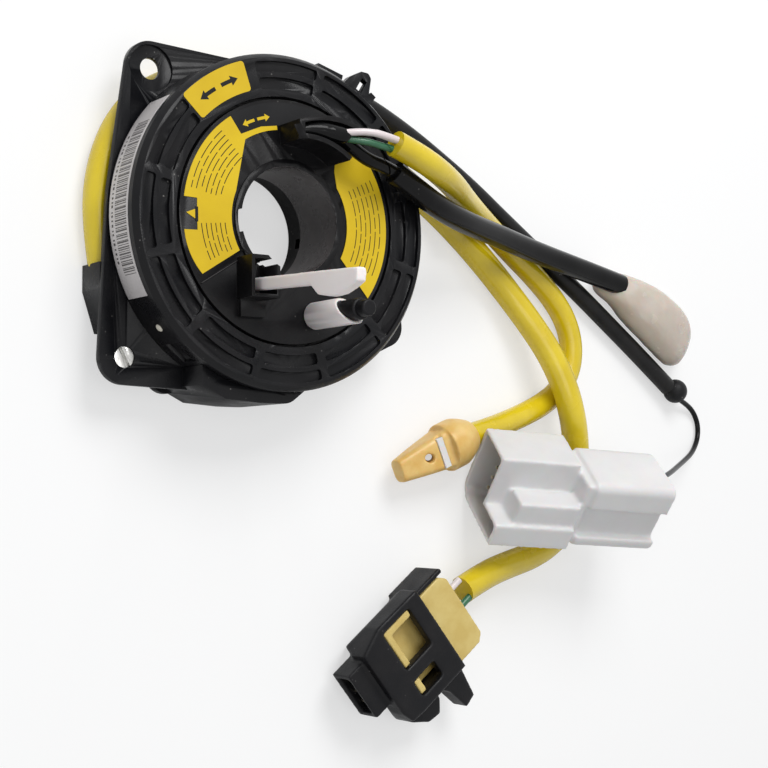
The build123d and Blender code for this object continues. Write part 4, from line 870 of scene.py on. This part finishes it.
# Distance from the axis and radius of each ring
pip_rings = []
for distance, radius in ((51.7, 1.3), (52.1, 1.35), (52.4, 1.1), (52.55, 0.5)):
    centre = (distance * pip_outward[0], distance * pip_outward[1], PIP_LEVEL)
    pip_rings.append(oval(centre, pip_side, UPWARDS, radius, radius, count=RING_CORNERS))
lofted("drum_pip", pip_rings, natural_plastic, "stator", None, lump=0.05)

# %% [markdown]
# ## Free cables
# Five cables leave the part and lie loose beside it.


print("five free cables lie loose")

# %% [markdown]
# ## Prints on the labels
# The film labels carry a black heading, ruled note lines and plain arrows that show which way the
# rotor turns. Each mark is a very thin plate on the film, so it has an edge that catches light.

# %% Flat marks on a level face
# Level of the films' face and usual thickness of a mark, in millimetres
FILM_TOP = 32.15
MARK_THICKNESS = 0.04


def plate_mark(label, outline, level, material, body, thickness=MARK_THICKNESS):
    """Thin plate with given contours in millimetres, lying on a level."""
    shape = bmesh.new()
    for contour in outline:
        corners = [shape.verts.new((MM * x, MM * y, MM * level)) for x, y in contour]
        shape.faces.new(corners)
    bmesh.ops.recalc_face_normals(shape, faces=shape.faces)
    for face in shape.faces:
        if face.normal.z < 0:
            face.normal_flip()
    sides = bmesh.ops.extrude_face_region(shape, geom=shape.faces[:])
    raised = [item for item in sides["geom"] if isinstance(item, bmesh.types.BMVert)]
    bmesh.ops.translate(shape, verts=raised, vec=(0, 0, MM * thickness))
    bmesh.ops.recalc_face_normals(shape, faces=shape.faces)
    mark = built(label, shape)
    dress(mark, material)
    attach(mark, body)
    print(label, "has", len(outline), "contours")


def on_arc(radius, angle):
    """Point at a radius and an angle in degrees about the steering axis."""
    turn = math.radians(angle)
    return (radius * math.cos(turn), radius * math.sin(turn))


def around(radius, start, end, steps=24):
    """Points on an arc about the steering axis, from one angle to another in degrees."""
    return [on_arc(radius, start + (end - start) * step / steps) for step in range(steps + 1)]


print("marks lie at", FILM_TOP, "mm")

# %% [markdown]
# ## Heading
# The left film begins with one black field that follows the disc, and two small arrows lie on it.

# %% Heading and its arrows
HEAD_SPREAD = 2.6
heading = (
    around(36.6, 124.4, 60.6)
    + around(29.5, 60.6, 98.3, 10)
    + [(-10.0, 28.2), (-16.9, 25.1)]
)
plate_mark("label_heading", [heading], FILM_TOP, printed_black, "rotor")


def ring_arrow(radius, start, end, half_width, head):
    """Curved arrow about the steering axis: its band and its head."""
    turn = 1 if end > start else -1
    neck = end - turn * head
    band = around(radius + half_width, start, neck, 10) + around(radius - half_width, neck, start, 10)
    spread = HEAD_SPREAD * half_width
    tip = [on_arc(radius + spread, neck), on_arc(radius, end), on_arc(radius - spread, neck)]
    return [band, tip]


plate_mark(
    "heading_arrows",
    ring_arrow(32.3, 112.5, 120.5, 0.45, 3.0) + ring_arrow(32.3, 110.5, 102.5, 0.45, 3.0),
    FILM_TOP + MARK_THICKNESS, yellow_label, "rotor",
)

# %% [markdown]
# ## Note lines
# Rows of broken strokes stand where notes would be. They follow the disc, and each row starts the
# turn of lengths one place further on, which scatters the breaks.

# %% Rule the note lines
STROKE_LENGTHS = (9.0, 14.0, 6.5, 11.0)
STROKE_GAP = 1.6
SHORTEST_STROKE = 3.0
STROKE_HALF_WIDTH = 0.13
STROKE_THICKNESS = 0.03


def ruled_lines(start, end, first, last, count):
    """Ruled note lines: rings of thin strokes between two angles, broken by short gaps."""
    strokes = []
    for row in range(count):
        radius = first + (last - first) * row / (count - 1)
        angle = start
        step = row
        while angle < end - SHORTEST_STROKE:
            stop = min(end, angle + STROKE_LENGTHS[step % len(STROKE_LENGTHS)])
            outer = around(radius + STROKE_HALF_WIDTH, angle, stop, 6)
            inner = around(radius - STROKE_HALF_WIDTH, stop, angle, 6)
            strokes.append(outer + inner)
            angle = stop + STROKE_GAP
            step += 1
    return strokes


plate_mark(
    "note_lines_left",
    ruled_lines(186.0, 207.0, 22.5, 30.5, 6) + ruled_lines(133.0, 168.0, 24.5, 34.5, 7),
    FILM_TOP, printed_black, "rotor", STROKE_THICKNESS,
)
plate_mark(
    "note_lines_right", ruled_lines(-25.0, 28.0, 25.0, 34.0, 6),
    FILM_TOP, printed_black, "rotor", STROKE_THICKNESS,
)

# %% [markdown]
# ## Other marks
# A thin grey strip along the ridge beside the left film is a painted highlight on the ridge's edge, a
# short black tick marks the neutral place, and two arrows on the still ring show that the rotor turns
# both ways.

# %% Painted ridge highlight, neutral tick and ring arrows
RIDGE_RISE = 0.23
RIDGE_HIGHLIGHT_THICKNESS = 0.02
# Grey strip on the ridge's edge: a painted highlight, not a print
plate_mark(
    "ridge_painted_highlight", [[(-30.2, -20.75), (-16.7, -12.35), (-16.8, -12.55), (-30.3, -20.95)]],
    FILM_TOP + RIDGE_RISE, grey_print_and_painted_highlight, "rotor", RIDGE_HIGHLIGHT_THICKNESS,
)
plate_mark(
    "neutral_gap", [[(-32.5, 1.5), (-31.5, 1.6), (-31.4, -2.9), (-32.4, -2.6)]],
    FILM_TOP, printed_black, "rotor",
)
plate_mark(
    "ring_arrows",
    ring_arrow(45.6, 124.5, 132.5, 0.6, 3.2) + ring_arrow(45.6, 121.5, 113.5, 0.6, 3.2),
    FILM_TOP, printed_black, "stator",
)

# %% [markdown]
# ## Bars on the side label
# The grey film on the drum's side has a row of plain bars and a row of short ticks under it. Each is
# a narrow plate that stands a few hundredths off the film, turned about the steering axis to its own
# angle. Widths and gaps only take turns, so they spell nothing.

# %% Bars around the drum
# Radius of the bars in millimetres, and how far they reach inwards and outwards from it
BAR_RADIUS = 52.16
BAR_INWARDS = 0.01
BAR_OUTWARDS = 0.03
# Corners of a bar's six sides
BAR_SIDES = ((0, 1, 3, 2), (4, 6, 7, 5), (0, 4, 5, 1), (2, 3, 7, 6), (0, 2, 6, 4), (1, 5, 7, 3))


def drum_bars(label, start, end, levels, widths, gaps):
    """Upright bars on the drum's side, whose widths and gaps, in degrees, take turns."""
    shape = bmesh.new()
    angle = start
    count = 0
    while angle < end:
        width = widths[count % len(widths)]
        corners = []
        for radius in (BAR_RADIUS - BAR_INWARDS, BAR_RADIUS + BAR_OUTWARDS):
            for level in levels:
                for side in (-1, 1):
                    x, y = on_arc(radius, angle + side * width / 2)
                    corners.append(shape.verts.new(Vector((x, y, level)) * MM))
        for face in BAR_SIDES:
            shape.faces.new([corners[index] for index in face])
        angle += width + gaps[count % len(gaps)]
        count += 1
    bmesh.ops.recalc_face_normals(shape, faces=shape.faces)
    bars = built(label, shape)
    dress(bars, grey_print_and_painted_highlight)
    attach(bars, "stator")
    print(label, "has", count, "bars")


drum_bars(
    "side_label_bars", 149.0, 201.0, (19.4, 26.6), (0.32, 0.18, 0.5, 0.22, 0.38), (0.35, 0.6, 0.28),
)
drum_bars(
    "side_label_ticks", 154.0, 197.0, (17.1, 18.1), (0.9, 0.4, 0.7, 0.5), (0.8, 1.1, 0.8),
)

# %% [markdown]
# ## Close the notebook
# The view layer is brought up to date.

# %% Update the view layer
bpy.context.view_layer.update()
